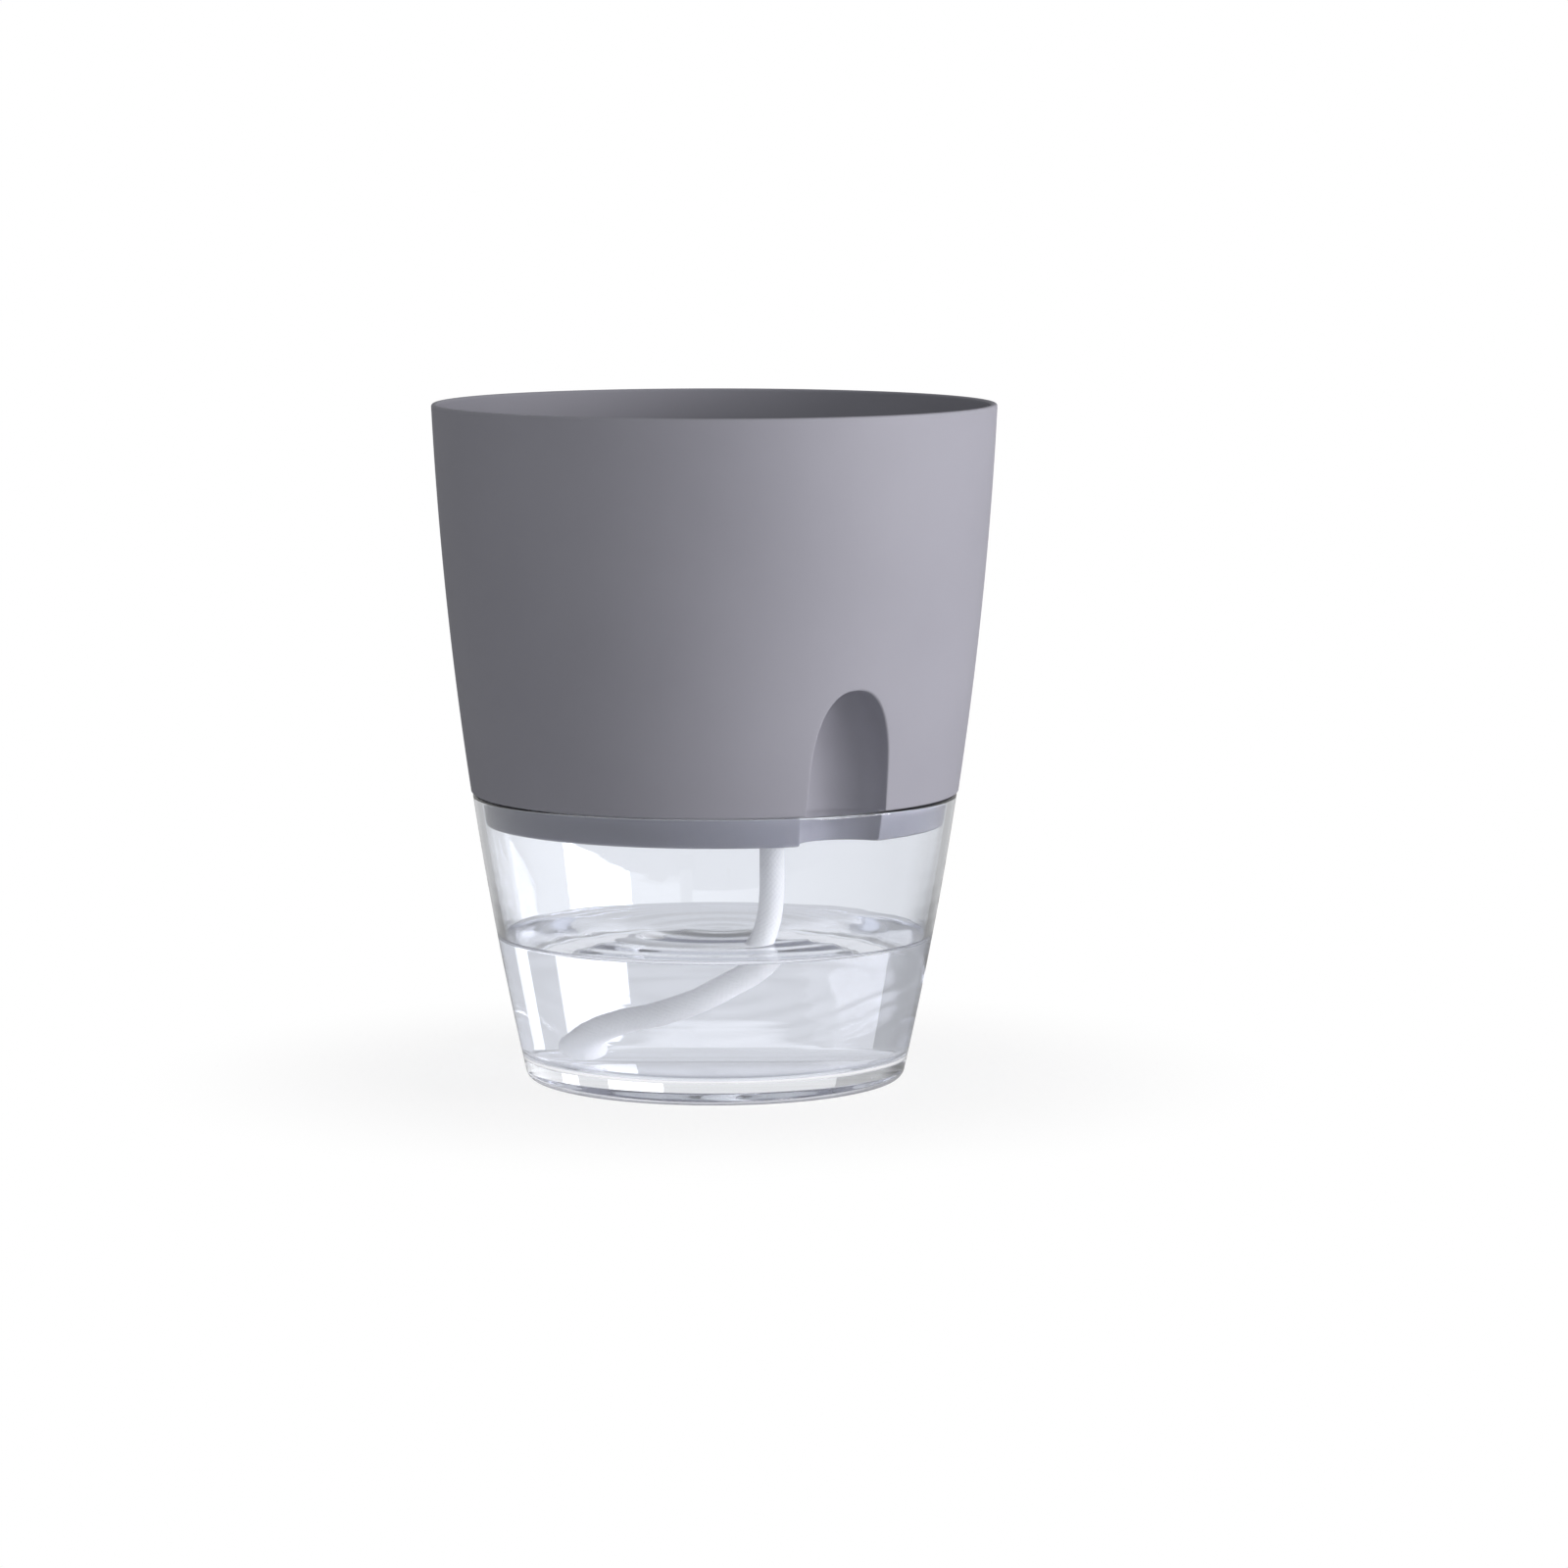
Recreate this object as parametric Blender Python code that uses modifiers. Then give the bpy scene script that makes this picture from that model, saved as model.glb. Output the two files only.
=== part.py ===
# Self-watering pot: a clear reservoir, a planter that drops into its rim, and a wick that draws the water up.
# Metres, +Z up. The origin is the middle of the foot, and the filling scoop faces -Y.
import math

import bmesh
import bpy
from mathutils import Vector

MM = 0.001

# The side of the pot: one long, shallow arc from the planter's rim to the reservoir's foot
RESERVOIR_HEIGHT = 82 * MM
SEAT_GAP = 0.3 * MM  # between the reservoir's rim and the planter's shoulder
SHELL_HEIGHT = 110 * MM  # the planter above its shoulder
RIM_RADIUS = 80 * MM
RIM_DRAFT = math.radians(2.7)  # how far the side leans outwards at the rim
SIDE_BOW = 1106 * MM  # radius of the arc

# Reservoir
RESERVOIR_WALL = 2.2 * MM
RESERVOIR_INSET = 0.3 * MM  # its side lies this far inside the planter's
RESERVOIR_RIM_ROUND = 0.8 * MM
RESERVOIR_FLOOR = 3 * MM
FLOOR_FILLET = 4 * MM
HEEL_ROUND = 3 * MM
FOOT_WIDTH = 12 * MM  # the ring that it stands on, from the side to the recess
FOOT_RECESS = 3.5 * MM  # depth of the recess inside the foot
RECESS_SLOPE = 2 * MM  # run of the recess's sloping side
RECESS_ROUND = 0.8 * MM

# Planter
PLANTER_WALL = 1.8 * MM
PLANTER_RIM_ROUND = 0.7 * MM
SHOULDER_EDGE_ROUND = 0.4 * MM
SHOULDER_RISE = 3.5 * MM  # height of the sloping step inside, over the shoulder
SKIRT_DEPTH = 8.6 * MM  # how far the planter reaches down inside the reservoir
SKIRT_CLEARANCE = 0.4 * MM
SKIRT_EDGE_ROUND = 1.2 * MM
PLANTER_FLOOR = 2.2 * MM
SOIL_FILLET = 2.5 * MM

# Scoop: the channel down the planter's front, where water is poured in
SCOOP_HALF_WIDTH = 13.1 * MM  # at the shoulder, and also the radius of its round back
SCOOP_SINK = 1.3 * MM  # how far inside the planter's side the centre of that radius lies
SCOOP_DRAFT = math.radians(2.6)
SCOOP_STRAIGHT = 12.5 * MM  # height above the shoulder at which the sides start to close
SCOOP_ARCH = 22 * MM  # height of the arch above that
SCOOP_STEP = 0.35 * MM  # the channel is this much wider below the reservoir's rim
ARCH_FULLNESS = 2.4  # 2 makes the arch a half ellipse, and more makes it squarer

# Drain slots in the planter's floor, like the spokes of a wheel
SLOT_COUNT = 8  # places round the floor; the one at the scoop has no slot
SLOT_WIDTH = 3 * MM
SLOT_LENGTH = 13 * MM
SLOT_RADIUS = 43 * MM  # from the axis to the middle of a slot

# Wick and the boss that it passes through
WICK_RADIUS = 3.5 * MM
WICK_CLEARANCE = 0.3 * MM
WICK_OFFSET = 30 * MM  # from the axis towards the scoop
BOSS_WALL = 1.8 * MM
BOSS_DROP = 3.5 * MM  # below the planter's floor
WICK_JOINT_GAP = 0.3 * MM

# Points along the wick, in millimetres from the middle of the boss, x, y and z
WICK_DOWN = [
    (0, 0, 0),
    (0, 0, -9.5),
    (0.6, 1, -17),
    (1.2, 3.4, -24.5),
    (1.1, 7.8, -32),
    (-0.7, 12.8, -37),
    (-3.6, 18.7, -41),
    (-6.4, 24.5, -44.9),
    (-8.9, 30.9, -48),
    (-10.9, 38, -50.6),
    (-11.8, 45.1, -52.4),
    (-12.3, 51.8, -54.9),
    (-10.7, 58.4, -58.2),
    (-6.9, 64.5, -61.2),
    (-1.3, 69, -62.7),
]
WICK_UP = [
    (0, 0, 0),
    (0, 0, 10.5),
    (0.1, 1.4, 16.8),
    (0.4, 5.4, 22),
    (0.9, 11.1, 25),
    (1.5, 18, 25),
    (2.1, 24.6, 21.8),
    (2.5, 31, 16.4),
    (2.6, 37.4, 11),
    (2.2, 44.4, 7.6),
    (1, 51.6, 6.7),
    (-1.6, 58.4, 6.7),
    (-5.6, 64.6, 6.7),
    (-10.4, 69.6, 6.7),
]

# How finely the round shapes are divided
ROUND_STEPS = 80
SIDE_STEPS = 6
FILLET_STEPS = 4
SMALL_FILLET_STEPS = 3
SCOOP_STEPS = 18
ARCH_STEPS = 9
ARCH_LAST = math.radians(88)  # the highest level of the scoop; 90 degrees is the crown itself
BOSS_STEPS = 32
WICK_STEP = 3  # distance between the wick's points, in wick radii
WICK_ROUNDNESS = 3  # bevel resolution of the wick
CURVE_STEPS = 40  # straight pieces that measure the wick's curve between two points
SHARP_ANGLE = math.radians(35)
LARGEST_FILLET = 0.45  # share of a side that a fillet may take
SLOT_ROUND = 0.48  # share of a slot's width; one half makes its ends half circles
MERGE_DISTANCE = 0.01 * MM
CUT_MARGIN = 3 * MM  # cutters reach this far past what they cut

# Levels that follow from the sizes above
SHOULDER = RESERVOIR_HEIGHT + SEAT_GAP
TOP = SHOULDER + SHELL_HEIGHT
WATER_FLOOR = FOOT_RECESS + RESERVOIR_FLOOR
SKIRT_BOTTOM = SHOULDER - SKIRT_DEPTH
SOIL_FLOOR = SKIRT_BOTTOM + PLANTER_FLOOR
FLOOR_MIDDLE = SKIRT_BOTTOM + PLANTER_FLOOR / 2
BOSS_BOTTOM = SKIRT_BOTTOM - BOSS_DROP
BOSS_MIDDLE = Vector((0, -WICK_OFFSET, (SOIL_FLOOR + BOSS_BOTTOM) / 2))


def side_radius(z):
    """Outside radius of the pot at a height."""
    lean = math.sin(RIM_DRAFT) + (TOP - z) / SIDE_BOW
    return RIM_RADIUS - SIDE_BOW * (math.cos(RIM_DRAFT) - math.sqrt(1 - lean * lean))


def reservoir_outside(z):
    return side_radius(z) - RESERVOIR_INSET


def reservoir_inside(z):
    return reservoir_outside(z) - RESERVOIR_WALL


def skirt_outside(z):
    return reservoir_inside(z) - SKIRT_CLEARANCE


def levels(start, end, count):
    """Evenly spaced heights between two heights, without the ends."""
    return [start + (end - start) * i / count for i in range(1, count)]


def fillet(before, corner, after, radius, steps):
    """Points of the arc that rounds a corner, never longer than the sides allow."""
    to_before = (before - corner).normalized()
    to_after = (after - corner).normalized()
    half_angle = to_before.angle(to_after) / 2
    longest = LARGEST_FILLET * min((before - corner).length, (after - corner).length)
    reach = min(radius / math.tan(half_angle), longest)
    radius = reach * math.tan(half_angle)
    centre = corner + (to_before + to_after).normalized() * (radius / math.sin(half_angle))
    first = corner + to_before * reach - centre
    last = corner + to_after * reach - centre
    sweep = first.angle_signed(last)
    arc = []
    for i in range(steps + 1):
        turn = -sweep * i / steps
        cosine, sine = math.cos(turn), math.sin(turn)
        arc.append(centre + Vector((cosine * first.x - sine * first.y, sine * first.x + cosine * first.y)))
    return arc


def rounded(corners):
    """A profile from corners (r, z, fillet radius, fillet steps), where a plain point has only r and z."""
    points = [Vector(corner[:2]) for corner in corners]
    profile = []
    for i, corner in enumerate(corners):
        if len(corner) == 2:
            profile.append(points[i])
        else:
            profile += fillet(points[i - 1], points[i], points[i + 1], corner[2], corner[3])
    return profile


def collection(name):
    new = bpy.data.collections.new(name)
    bpy.context.scene.collection.children.link(new)
    return new


def material(name, colour, roughness, transmission=0.0, ior=1.5):
    new = bpy.data.materials.new(name)
    new.use_nodes = True
    shader = new.node_tree.nodes["Principled BSDF"]
    shader.inputs["Base Color"].default_value = (*colour, 1)
    shader.inputs["Roughness"].default_value = roughness
    shader.inputs["Metallic"].default_value = 0
    shader.inputs["Transmission Weight"].default_value = transmission
    shader.inputs["IOR"].default_value = ior
    return new


def add_object(name, data, where, finish=None):
    new = bpy.data.objects.new(name, data)
    where.objects.link(new)
    if finish:
        data.materials.append(finish)
    return new


def turned(name, profile, where, finish=None):
    """A body turned round the Z axis from a profile that starts and ends on the axis."""
    mesh = bpy.data.meshes.new(name)
    mesh.from_pydata([(r, 0, z) for r, z in profile], [(i, i + 1) for i in range(len(profile) - 1)], [])
    new = add_object(name, mesh, where, finish)
    screw = new.modifiers.new("turn", "SCREW")
    screw.axis = "Z"
    screw.steps = ROUND_STEPS
    screw.render_steps = ROUND_STEPS
    screw.use_merge_vertices = True
    screw.merge_threshold = MERGE_DISTANCE
    return new


def as_cutter(cutter):
    cutter.hide_render = True
    cutter.display_type = "WIRE"
    return cutter


def combine(target, tool, operation):
    step = target.modifiers.new(tool.name, "BOOLEAN")
    step.operation = operation
    step.object = tool


def settle(body):
    """Turns a body's modifiers into its plain mesh, smooth except at its sharp edges."""
    evaluated = body.evaluated_get(bpy.context.evaluated_depsgraph_get())
    mesh = bpy.data.meshes.new_from_object(evaluated)
    body.modifiers.clear()
    body.data = mesh
    mesh.name = body.name
    mesh.shade_smooth()
    mesh.set_sharp_from_angle(angle=SHARP_ANGLE)


def cylinder(name, radius, bottom, top, x, y):
    mesh = bpy.data.meshes.new(name)
    bm = bmesh.new()
    bmesh.ops.create_cone(
        bm, cap_ends=True, segments=BOSS_STEPS, radius1=radius, radius2=radius, depth=top - bottom
    )
    bm.to_mesh(mesh)
    bm.free()
    new = as_cutter(add_object(name, mesh, cutters))
    new.location = (x, y, (bottom + top) / 2)
    return new


def scoop_half_width(height, half_width, arch):
    """Half width of the scoop at a height above the shoulder: drafted sides, closed by a full arch."""
    drafted = half_width - max(height, 0) * math.tan(SCOOP_DRAFT)
    rise = min(max(height - SCOOP_STRAIGHT, 0) / arch, 1)
    return drafted * (1 - rise**ARCH_FULLNESS) ** (1 / ARCH_FULLNESS)


def scoop_heights(bottom, arch):
    """Heights above the shoulder, closer together towards the crown of the arch."""
    heights = [bottom, 0, SCOOP_STRAIGHT / 2, SCOOP_STRAIGHT]
    for i in range(1, ARCH_STEPS + 1):
        rise = math.sin(ARCH_LAST * i / ARCH_STEPS)
        heights.append(SCOOP_STRAIGHT + arch * rise ** (2 / ARCH_FULLNESS))
    return heights


def scoop_section(half_width, z):
    """A level section of the channel: a round back, and straight sides that run out past the pot."""
    front = -RIM_RADIUS - CUT_MARGIN
    points = [(half_width, front, z)]
    for i in range(SCOOP_STEPS + 1):
        turn = math.pi * i / SCOOP_STEPS
        points.append((half_width * math.cos(turn), half_width * math.sin(turn) - scoop_centre, z))
    points.append((-half_width, front, z))
    return points


def scoop_body(name, sections):
    """A closed body lofted through level sections, lowest first."""
    mesh = bpy.data.meshes.new(name)
    bm = bmesh.new()
    rings = [[bm.verts.new(point) for point in section] for section in sections]
    for lower, upper in zip(rings, rings[1:]):
        for i in range(len(lower)):
            after = (i + 1) % len(lower)
            bm.faces.new((lower[i], lower[after], upper[after], upper[i]))
    bm.faces.new(reversed(rings[0]))
    bm.faces.new(rings[-1])
    bmesh.ops.recalc_face_normals(bm, faces=bm.faces)
    bm.to_mesh(mesh)
    bm.free()
    return as_cutter(add_object(name, mesh, cutters))


def scoop_channel(name, bottom, half_width, arch):
    sections = []
    for height in scoop_heights(bottom, arch):
        sections.append(scoop_section(scoop_half_width(height, half_width, arch), SHOULDER + height))
    return scoop_body(name, sections)


def slot_cutter(index):
    """A round-ended slot that points at the axis."""
    name = f"slot_cutter_{index}"
    mesh = bpy.data.meshes.new(name)
    bm = bmesh.new()
    bmesh.ops.create_cube(bm, size=1)
    bmesh.ops.scale(bm, vec=(SLOT_WIDTH, SLOT_LENGTH, PLANTER_FLOOR + 2 * CUT_MARGIN), verts=bm.verts)
    upright = [edge for edge in bm.edges if abs(edge.verts[0].co.z - edge.verts[1].co.z) > CUT_MARGIN]
    rounding = SLOT_ROUND * SLOT_WIDTH
    bmesh.ops.bevel(
        bm, geom=upright, offset=rounding, segments=SMALL_FILLET_STEPS, profile=0.5, affect="EDGES"
    )
    bm.to_mesh(mesh)
    bm.free()
    new = as_cutter(add_object(name, mesh, cutters))
    angle = 2 * math.pi * index / SLOT_COUNT
    new.location = (SLOT_RADIUS * math.sin(angle), -SLOT_RADIUS * math.cos(angle), FLOOR_MIDDLE)
    new.rotation_euler.z = angle
    return new


def smooth_line(route, spacing):
    """Evenly spaced points on a smooth curve through the points of a route."""
    points = [2 * route[0] - route[1], *route, 2 * route[-1] - route[-2]]
    dense = []
    for i in range(1, len(points) - 2):
        a, b, c, d = points[i - 1 : i + 3]
        for step in range(CURVE_STEPS):
            t = step / CURVE_STEPS
            dense.append(
                0.5
                * (2 * b + (c - a) * t + (2 * a - 5 * b + 4 * c - d) * t**2 + (3 * b - a - 3 * c + d) * t**3)
            )
    dense.append(route[-1])
    travelled = [0.0]
    for start, end in zip(dense, dense[1:]):
        travelled.append(travelled[-1] + (end - start).length)
    count = max(2, round(travelled[-1] / spacing))
    line, at = [], 0
    for i in range(count + 1):
        goal = travelled[-1] * i / count
        while at < len(dense) - 2 and travelled[at + 1] < goal:
            at += 1
        share = (goal - travelled[at]) / (travelled[at + 1] - travelled[at])
        line.append(dense[at].lerp(dense[at + 1], min(share, 1)))
    print("wick stretch", round(travelled[-1] * 1000, 1), "mm,", len(line), "points")
    return line


def cord(name, offsets, start_shift):
    """A round cord through hand-chosen points, from just off the middle of the boss."""
    route = [BOSS_MIDDLE + Vector(offset) * MM for offset in offsets]
    route[0] = route[0] + Vector((0, 0, start_shift))
    curve = bpy.data.curves.new(name, "CURVE")
    curve.dimensions = "3D"
    curve.bevel_depth = WICK_RADIUS
    curve.bevel_resolution = WICK_ROUNDNESS
    curve.use_fill_caps = True
    line = smooth_line(route, WICK_STEP * WICK_RADIUS)
    spline = curve.splines.new("POLY")
    spline.points.add(len(line) - 1)
    for point, place in zip(spline.points, line):
        point.co = (*place, 1)
    return add_object(name, curve, pot, cotton)


def make_reservoir():
    recess_edge = reservoir_outside(0) - FOOT_WIDTH
    corners = [
        (0, WATER_FLOOR),
        (reservoir_inside(WATER_FLOOR), WATER_FLOOR, FLOOR_FILLET, FILLET_STEPS),
        *[(reservoir_inside(z), z) for z in levels(WATER_FLOOR, RESERVOIR_HEIGHT, SIDE_STEPS)],
        (reservoir_inside(RESERVOIR_HEIGHT), RESERVOIR_HEIGHT, RESERVOIR_RIM_ROUND, SMALL_FILLET_STEPS),
        (reservoir_outside(RESERVOIR_HEIGHT), RESERVOIR_HEIGHT, RESERVOIR_RIM_ROUND, SMALL_FILLET_STEPS),
        *[(reservoir_outside(z), z) for z in levels(RESERVOIR_HEIGHT, 0, SIDE_STEPS)],
        (reservoir_outside(0), 0, HEEL_ROUND, FILLET_STEPS),
        (recess_edge, 0, RECESS_ROUND, SMALL_FILLET_STEPS),
        (recess_edge - RECESS_SLOPE, FOOT_RECESS, RECESS_ROUND, SMALL_FILLET_STEPS),
        (0, FOOT_RECESS),
    ]
    reservoir = turned("reservoir", rounded(corners), pot, clear_plastic)
    settle(reservoir)


def make_planter_blank():
    step_top = SHOULDER + SHOULDER_RISE
    corners = [
        (0, SOIL_FLOOR),
        (skirt_outside(SOIL_FLOOR) - PLANTER_WALL, SOIL_FLOOR, SOIL_FILLET, SMALL_FILLET_STEPS),
        (skirt_outside(SHOULDER) - PLANTER_WALL, SHOULDER, SOIL_FILLET, SMALL_FILLET_STEPS),
        (side_radius(step_top) - PLANTER_WALL, step_top, SOIL_FILLET, SMALL_FILLET_STEPS),
        *[(side_radius(z) - PLANTER_WALL, z) for z in levels(step_top, TOP, SIDE_STEPS)],
        (side_radius(TOP) - PLANTER_WALL, TOP, PLANTER_RIM_ROUND, SMALL_FILLET_STEPS),
        (side_radius(TOP), TOP, PLANTER_RIM_ROUND, SMALL_FILLET_STEPS),
        *[(side_radius(z), z) for z in levels(TOP, SHOULDER, SIDE_STEPS)],
        (side_radius(SHOULDER), SHOULDER, SHOULDER_EDGE_ROUND, SMALL_FILLET_STEPS),
        (skirt_outside(SHOULDER), SHOULDER),
        (skirt_outside(SKIRT_BOTTOM), SKIRT_BOTTOM, SKIRT_EDGE_ROUND, SMALL_FILLET_STEPS),
        (0, SKIRT_BOTTOM),
    ]
    return turned("planter", rounded(corners), pot, matt_plastic)


def make_scoop_wall():
    """The wall round the channel: a fuller channel, trimmed to the middle of the planter's own wall."""
    thickness = PLANTER_WALL + SCOOP_STEP
    wall = scoop_channel(
        "scoop_wall", FLOOR_MIDDLE - SHOULDER, SCOOP_HALF_WIDTH + thickness, SCOOP_ARCH + thickness
    )
    half_wall = PLANTER_WALL / 2
    top = SHOULDER + SCOOP_STRAIGHT + SCOOP_ARCH + thickness + CUT_MARGIN
    profile = [
        (0, top),
        (side_radius(top) - half_wall, top),
        *[(side_radius(z) - half_wall, z) for z in levels(top, SHOULDER + half_wall, SIDE_STEPS)],
        (side_radius(SHOULDER) - half_wall, SHOULDER + half_wall),
        (skirt_outside(SHOULDER) - half_wall, SHOULDER + half_wall),
        (skirt_outside(SKIRT_BOTTOM) - half_wall, SKIRT_BOTTOM),
        (0, SKIRT_BOTTOM),
    ]
    inside = as_cutter(turned("planter_inside", [Vector(point) for point in profile], cutters))
    combine(wall, inside, "INTERSECT")
    return wall


def make_scoop_foot():
    """The channel below the reservoir's rim, where it's a little wider."""
    half_width = SCOOP_HALF_WIDTH + SCOOP_STEP
    lowest = scoop_section(half_width, BOSS_BOTTOM - CUT_MARGIN)
    highest = scoop_section(half_width, RESERVOIR_HEIGHT)
    return scoop_body("scoop_foot_cutter", [lowest, highest])


def make_planter():
    planter = make_planter_blank()
    combine(planter, make_scoop_wall(), "UNION")
    hole_radius = WICK_RADIUS + WICK_CLEARANCE
    boss = cylinder("wick_boss", hole_radius + BOSS_WALL, BOSS_BOTTOM, FLOOR_MIDDLE, 0, -WICK_OFFSET)
    combine(planter, boss, "UNION")
    combine(planter, make_scoop_foot(), "DIFFERENCE")
    channel = scoop_channel(
        "scoop_cutter", BOSS_BOTTOM - SHOULDER - CUT_MARGIN / 2, SCOOP_HALF_WIDTH, SCOOP_ARCH
    )
    combine(planter, channel, "DIFFERENCE")
    hole_bottom = BOSS_BOTTOM - CUT_MARGIN
    hole_top = SOIL_FLOOR + CUT_MARGIN
    combine(planter, cylinder("wick_hole", hole_radius, hole_bottom, hole_top, 0, -WICK_OFFSET), "DIFFERENCE")
    for index in range(1, SLOT_COUNT):
        combine(planter, slot_cutter(index), "DIFFERENCE")
    settle(planter)


for old in list(bpy.data.objects):
    bpy.data.objects.remove(old, do_unlink=True)

pot = collection("self_watering_pot")
cutters = collection("cutters")
clear_plastic = material("clear_plastic", (0.93, 0.94, 0.96), 0.03, 1.0, 1.57)
matt_plastic = material("matt_lilac_grey_plastic", (0.30, 0.29, 0.33), 0.55)
cotton = material("white_cotton", (0.86, 0.86, 0.85), 0.9)
scoop_centre = side_radius(SHOULDER) - SCOOP_SINK

make_reservoir()
make_planter()
cord("wick_lower", WICK_DOWN, -WICK_JOINT_GAP / 2)
cord("wick_upper", WICK_UP, WICK_JOINT_GAP / 2)
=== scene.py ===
# Looks of the self-watering pot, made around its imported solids.
# The dictionaries hold millimetres, and metres() turns them into Blender's unit.
import math

import bmesh
import bpy
import numpy as np
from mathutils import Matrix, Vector


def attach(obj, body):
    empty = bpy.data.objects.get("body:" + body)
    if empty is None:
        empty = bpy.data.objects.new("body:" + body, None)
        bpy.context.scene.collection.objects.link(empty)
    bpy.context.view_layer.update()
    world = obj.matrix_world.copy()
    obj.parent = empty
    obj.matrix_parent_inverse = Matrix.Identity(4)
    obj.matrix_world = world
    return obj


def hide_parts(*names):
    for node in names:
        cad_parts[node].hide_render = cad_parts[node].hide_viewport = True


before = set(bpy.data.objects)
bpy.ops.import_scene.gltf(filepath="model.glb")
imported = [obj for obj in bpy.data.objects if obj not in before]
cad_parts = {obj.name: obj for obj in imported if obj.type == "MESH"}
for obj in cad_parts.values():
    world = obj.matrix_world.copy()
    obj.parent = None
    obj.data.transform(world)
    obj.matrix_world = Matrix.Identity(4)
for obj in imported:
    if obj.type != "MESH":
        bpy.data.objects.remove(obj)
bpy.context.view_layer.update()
scene = bpy.context.scene


def metres(value):
    return value * 0.001


def linearColour(code):
    # "#rrggbb" as it looks on a screen, to the linear values that shaders take
    shares = [int(code[i : i + 2], 16) / 255 for i in (1, 3, 5)]
    return (*[s / 12.92 if s <= 0.04045 else ((s + 0.055) / 1.055) ** 2.4 for s in shares], 1)


def addNode(tree, kind, inputs=(), **settings):
    # one node with its settings; its sockets, by name or in order, are set to values or linked to nodes
    node = tree.nodes.new(kind)
    for name, value in settings.items():
        setattr(node, name, value)
    for socket, value in inputs.items() if isinstance(inputs, dict) else enumerate(inputs):
        if isinstance(value, bpy.types.Node):
            value = value.outputs[0]
        if isinstance(value, bpy.types.NodeSocket):
            tree.links.new(value, node.inputs[socket])
        else:
            node.inputs[socket].default_value = value
    return node


def addObject(name, data):
    thing = bpy.data.objects.new(name, data)
    scene.collection.objects.link(thing)
    return thing


# camera: a long lens, a little above the pot, with the pot left of the middle of the frame
cameraView = {
    "distance": 1687.0,  # from the pot's axis
    "height": 283.7,  # above the foot
    "azimuth": -32.0,  # the scoop is seen right of the middle
    "pitch": 6.757,
    "aimRight": 0.668,  # degrees that the camera aims past the axis
    "lens": 136.96,
}


def makeCamera():
    turn = math.radians(cameraView["azimuth"])
    away = Vector((math.sin(turn), -math.cos(turn), 0))
    data = bpy.data.cameras.new("camera")
    data.lens = cameraView["lens"]
    data.clip_start = 0.05
    camera = addObject("camera", data)
    camera.location = metres(cameraView["distance"]) * away + Vector((0, 0, metres(cameraView["height"])))
    heading = math.atan2(-away.y, -away.x) - math.radians(cameraView["aimRight"])
    pitch = math.radians(cameraView["pitch"])
    aim = Vector((math.cos(pitch) * math.cos(heading), math.cos(pitch) * math.sin(heading), -math.sin(pitch)))
    camera.rotation_euler = aim.to_track_quat("-Z", "Y").to_euler()
    scene.camera = camera


makeCamera()
print("camera made")


doublesWithin = 0.004


def cleanMesh(piece, mergeDistance=doublesWithin, sharpAngle=35):
    # doubles merged, faces turned outwards, smooth but for real edges
    bm = bmesh.new()
    bm.from_mesh(piece.data)
    bmesh.ops.remove_doubles(bm, verts=bm.verts, dist=metres(mergeDistance))
    bmesh.ops.dissolve_degenerate(bm, edges=bm.edges, dist=metres(mergeDistance) / 4)
    bmesh.ops.recalc_face_normals(bm, faces=bm.faces)
    bm.to_mesh(piece.data)
    openEdges = sum(not edge.is_manifold for edge in bm.edges)
    bm.free()
    piece.data.shade_smooth()
    piece.data.set_sharp_from_angle(angle=math.radians(sharpAngle))
    print(piece.name, "faces", len(piece.data.polygons), "open edges", openEdges)


def applied(piece, material):
    # the evaluated shape as a plain mesh of its own, with one material and no modifiers left
    mesh = bpy.data.meshes.new_from_object(piece.evaluated_get(bpy.context.evaluated_depsgraph_get()))
    name = piece.name
    bpy.data.objects.remove(piece)
    mesh.name = name
    mesh.materials.clear()
    mesh.materials.append(material)
    mesh.polygons.foreach_set("material_index", np.zeros(len(mesh.polygons), dtype=np.int32))
    return addObject(name, mesh)


def openTree(name, floats, whole):
    # every tree starts alike: a geometry, decimal and whole numbers and a material go in
    tree = bpy.data.node_groups.new(name, "GeometryNodeTree")
    kinds = {"Geometry": "Geometry", **dict.fromkeys(floats, "Float"), **dict.fromkeys(whole, "Int")}
    for title, kind in {**kinds, "Material": "Material"}.items():
        tree.interface.new_socket(title, in_out="INPUT", socket_type="NodeSocket" + kind)
    tree.interface.new_socket("Geometry", in_out="OUTPUT", socket_type="NodeSocketGeometry")
    return tree, addNode(tree, "NodeGroupInput").outputs


def runTree(piece, tree, material, **values):
    # a modifier with the tree, its inputs set by their identifiers, then applied
    values["Material"] = material
    modifier = piece.modifiers.new(tree.name, "NODES")
    modifier.node_group = tree
    for item in tree.interface.items_tree:
        if item.in_out == "INPUT" and item.name in values:
            modifier[item.identifier] = values[item.name]
    return applied(piece, material)


def closeTree(tree, geometry, value):
    # every tree ends alike: realised, and with the material that it was given
    real = addNode(tree, "GeometryNodeRealizeInstances", {"Geometry": geometry})
    dressed = addNode(tree, "GeometryNodeSetMaterial", {"Geometry": real, "Material": value["Material"]})
    addNode(tree, "NodeGroupOutput", {"Geometry": dressed})


def newMaterial(name):
    # an empty material, its tree, and the coordinates that its textures lie in
    material = bpy.data.materials.new(name)
    material.use_nodes = True
    tree = material.node_tree
    tree.nodes.clear()
    return material, tree, addNode(tree, "ShaderNodeTexCoord").outputs["Object"]


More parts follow.
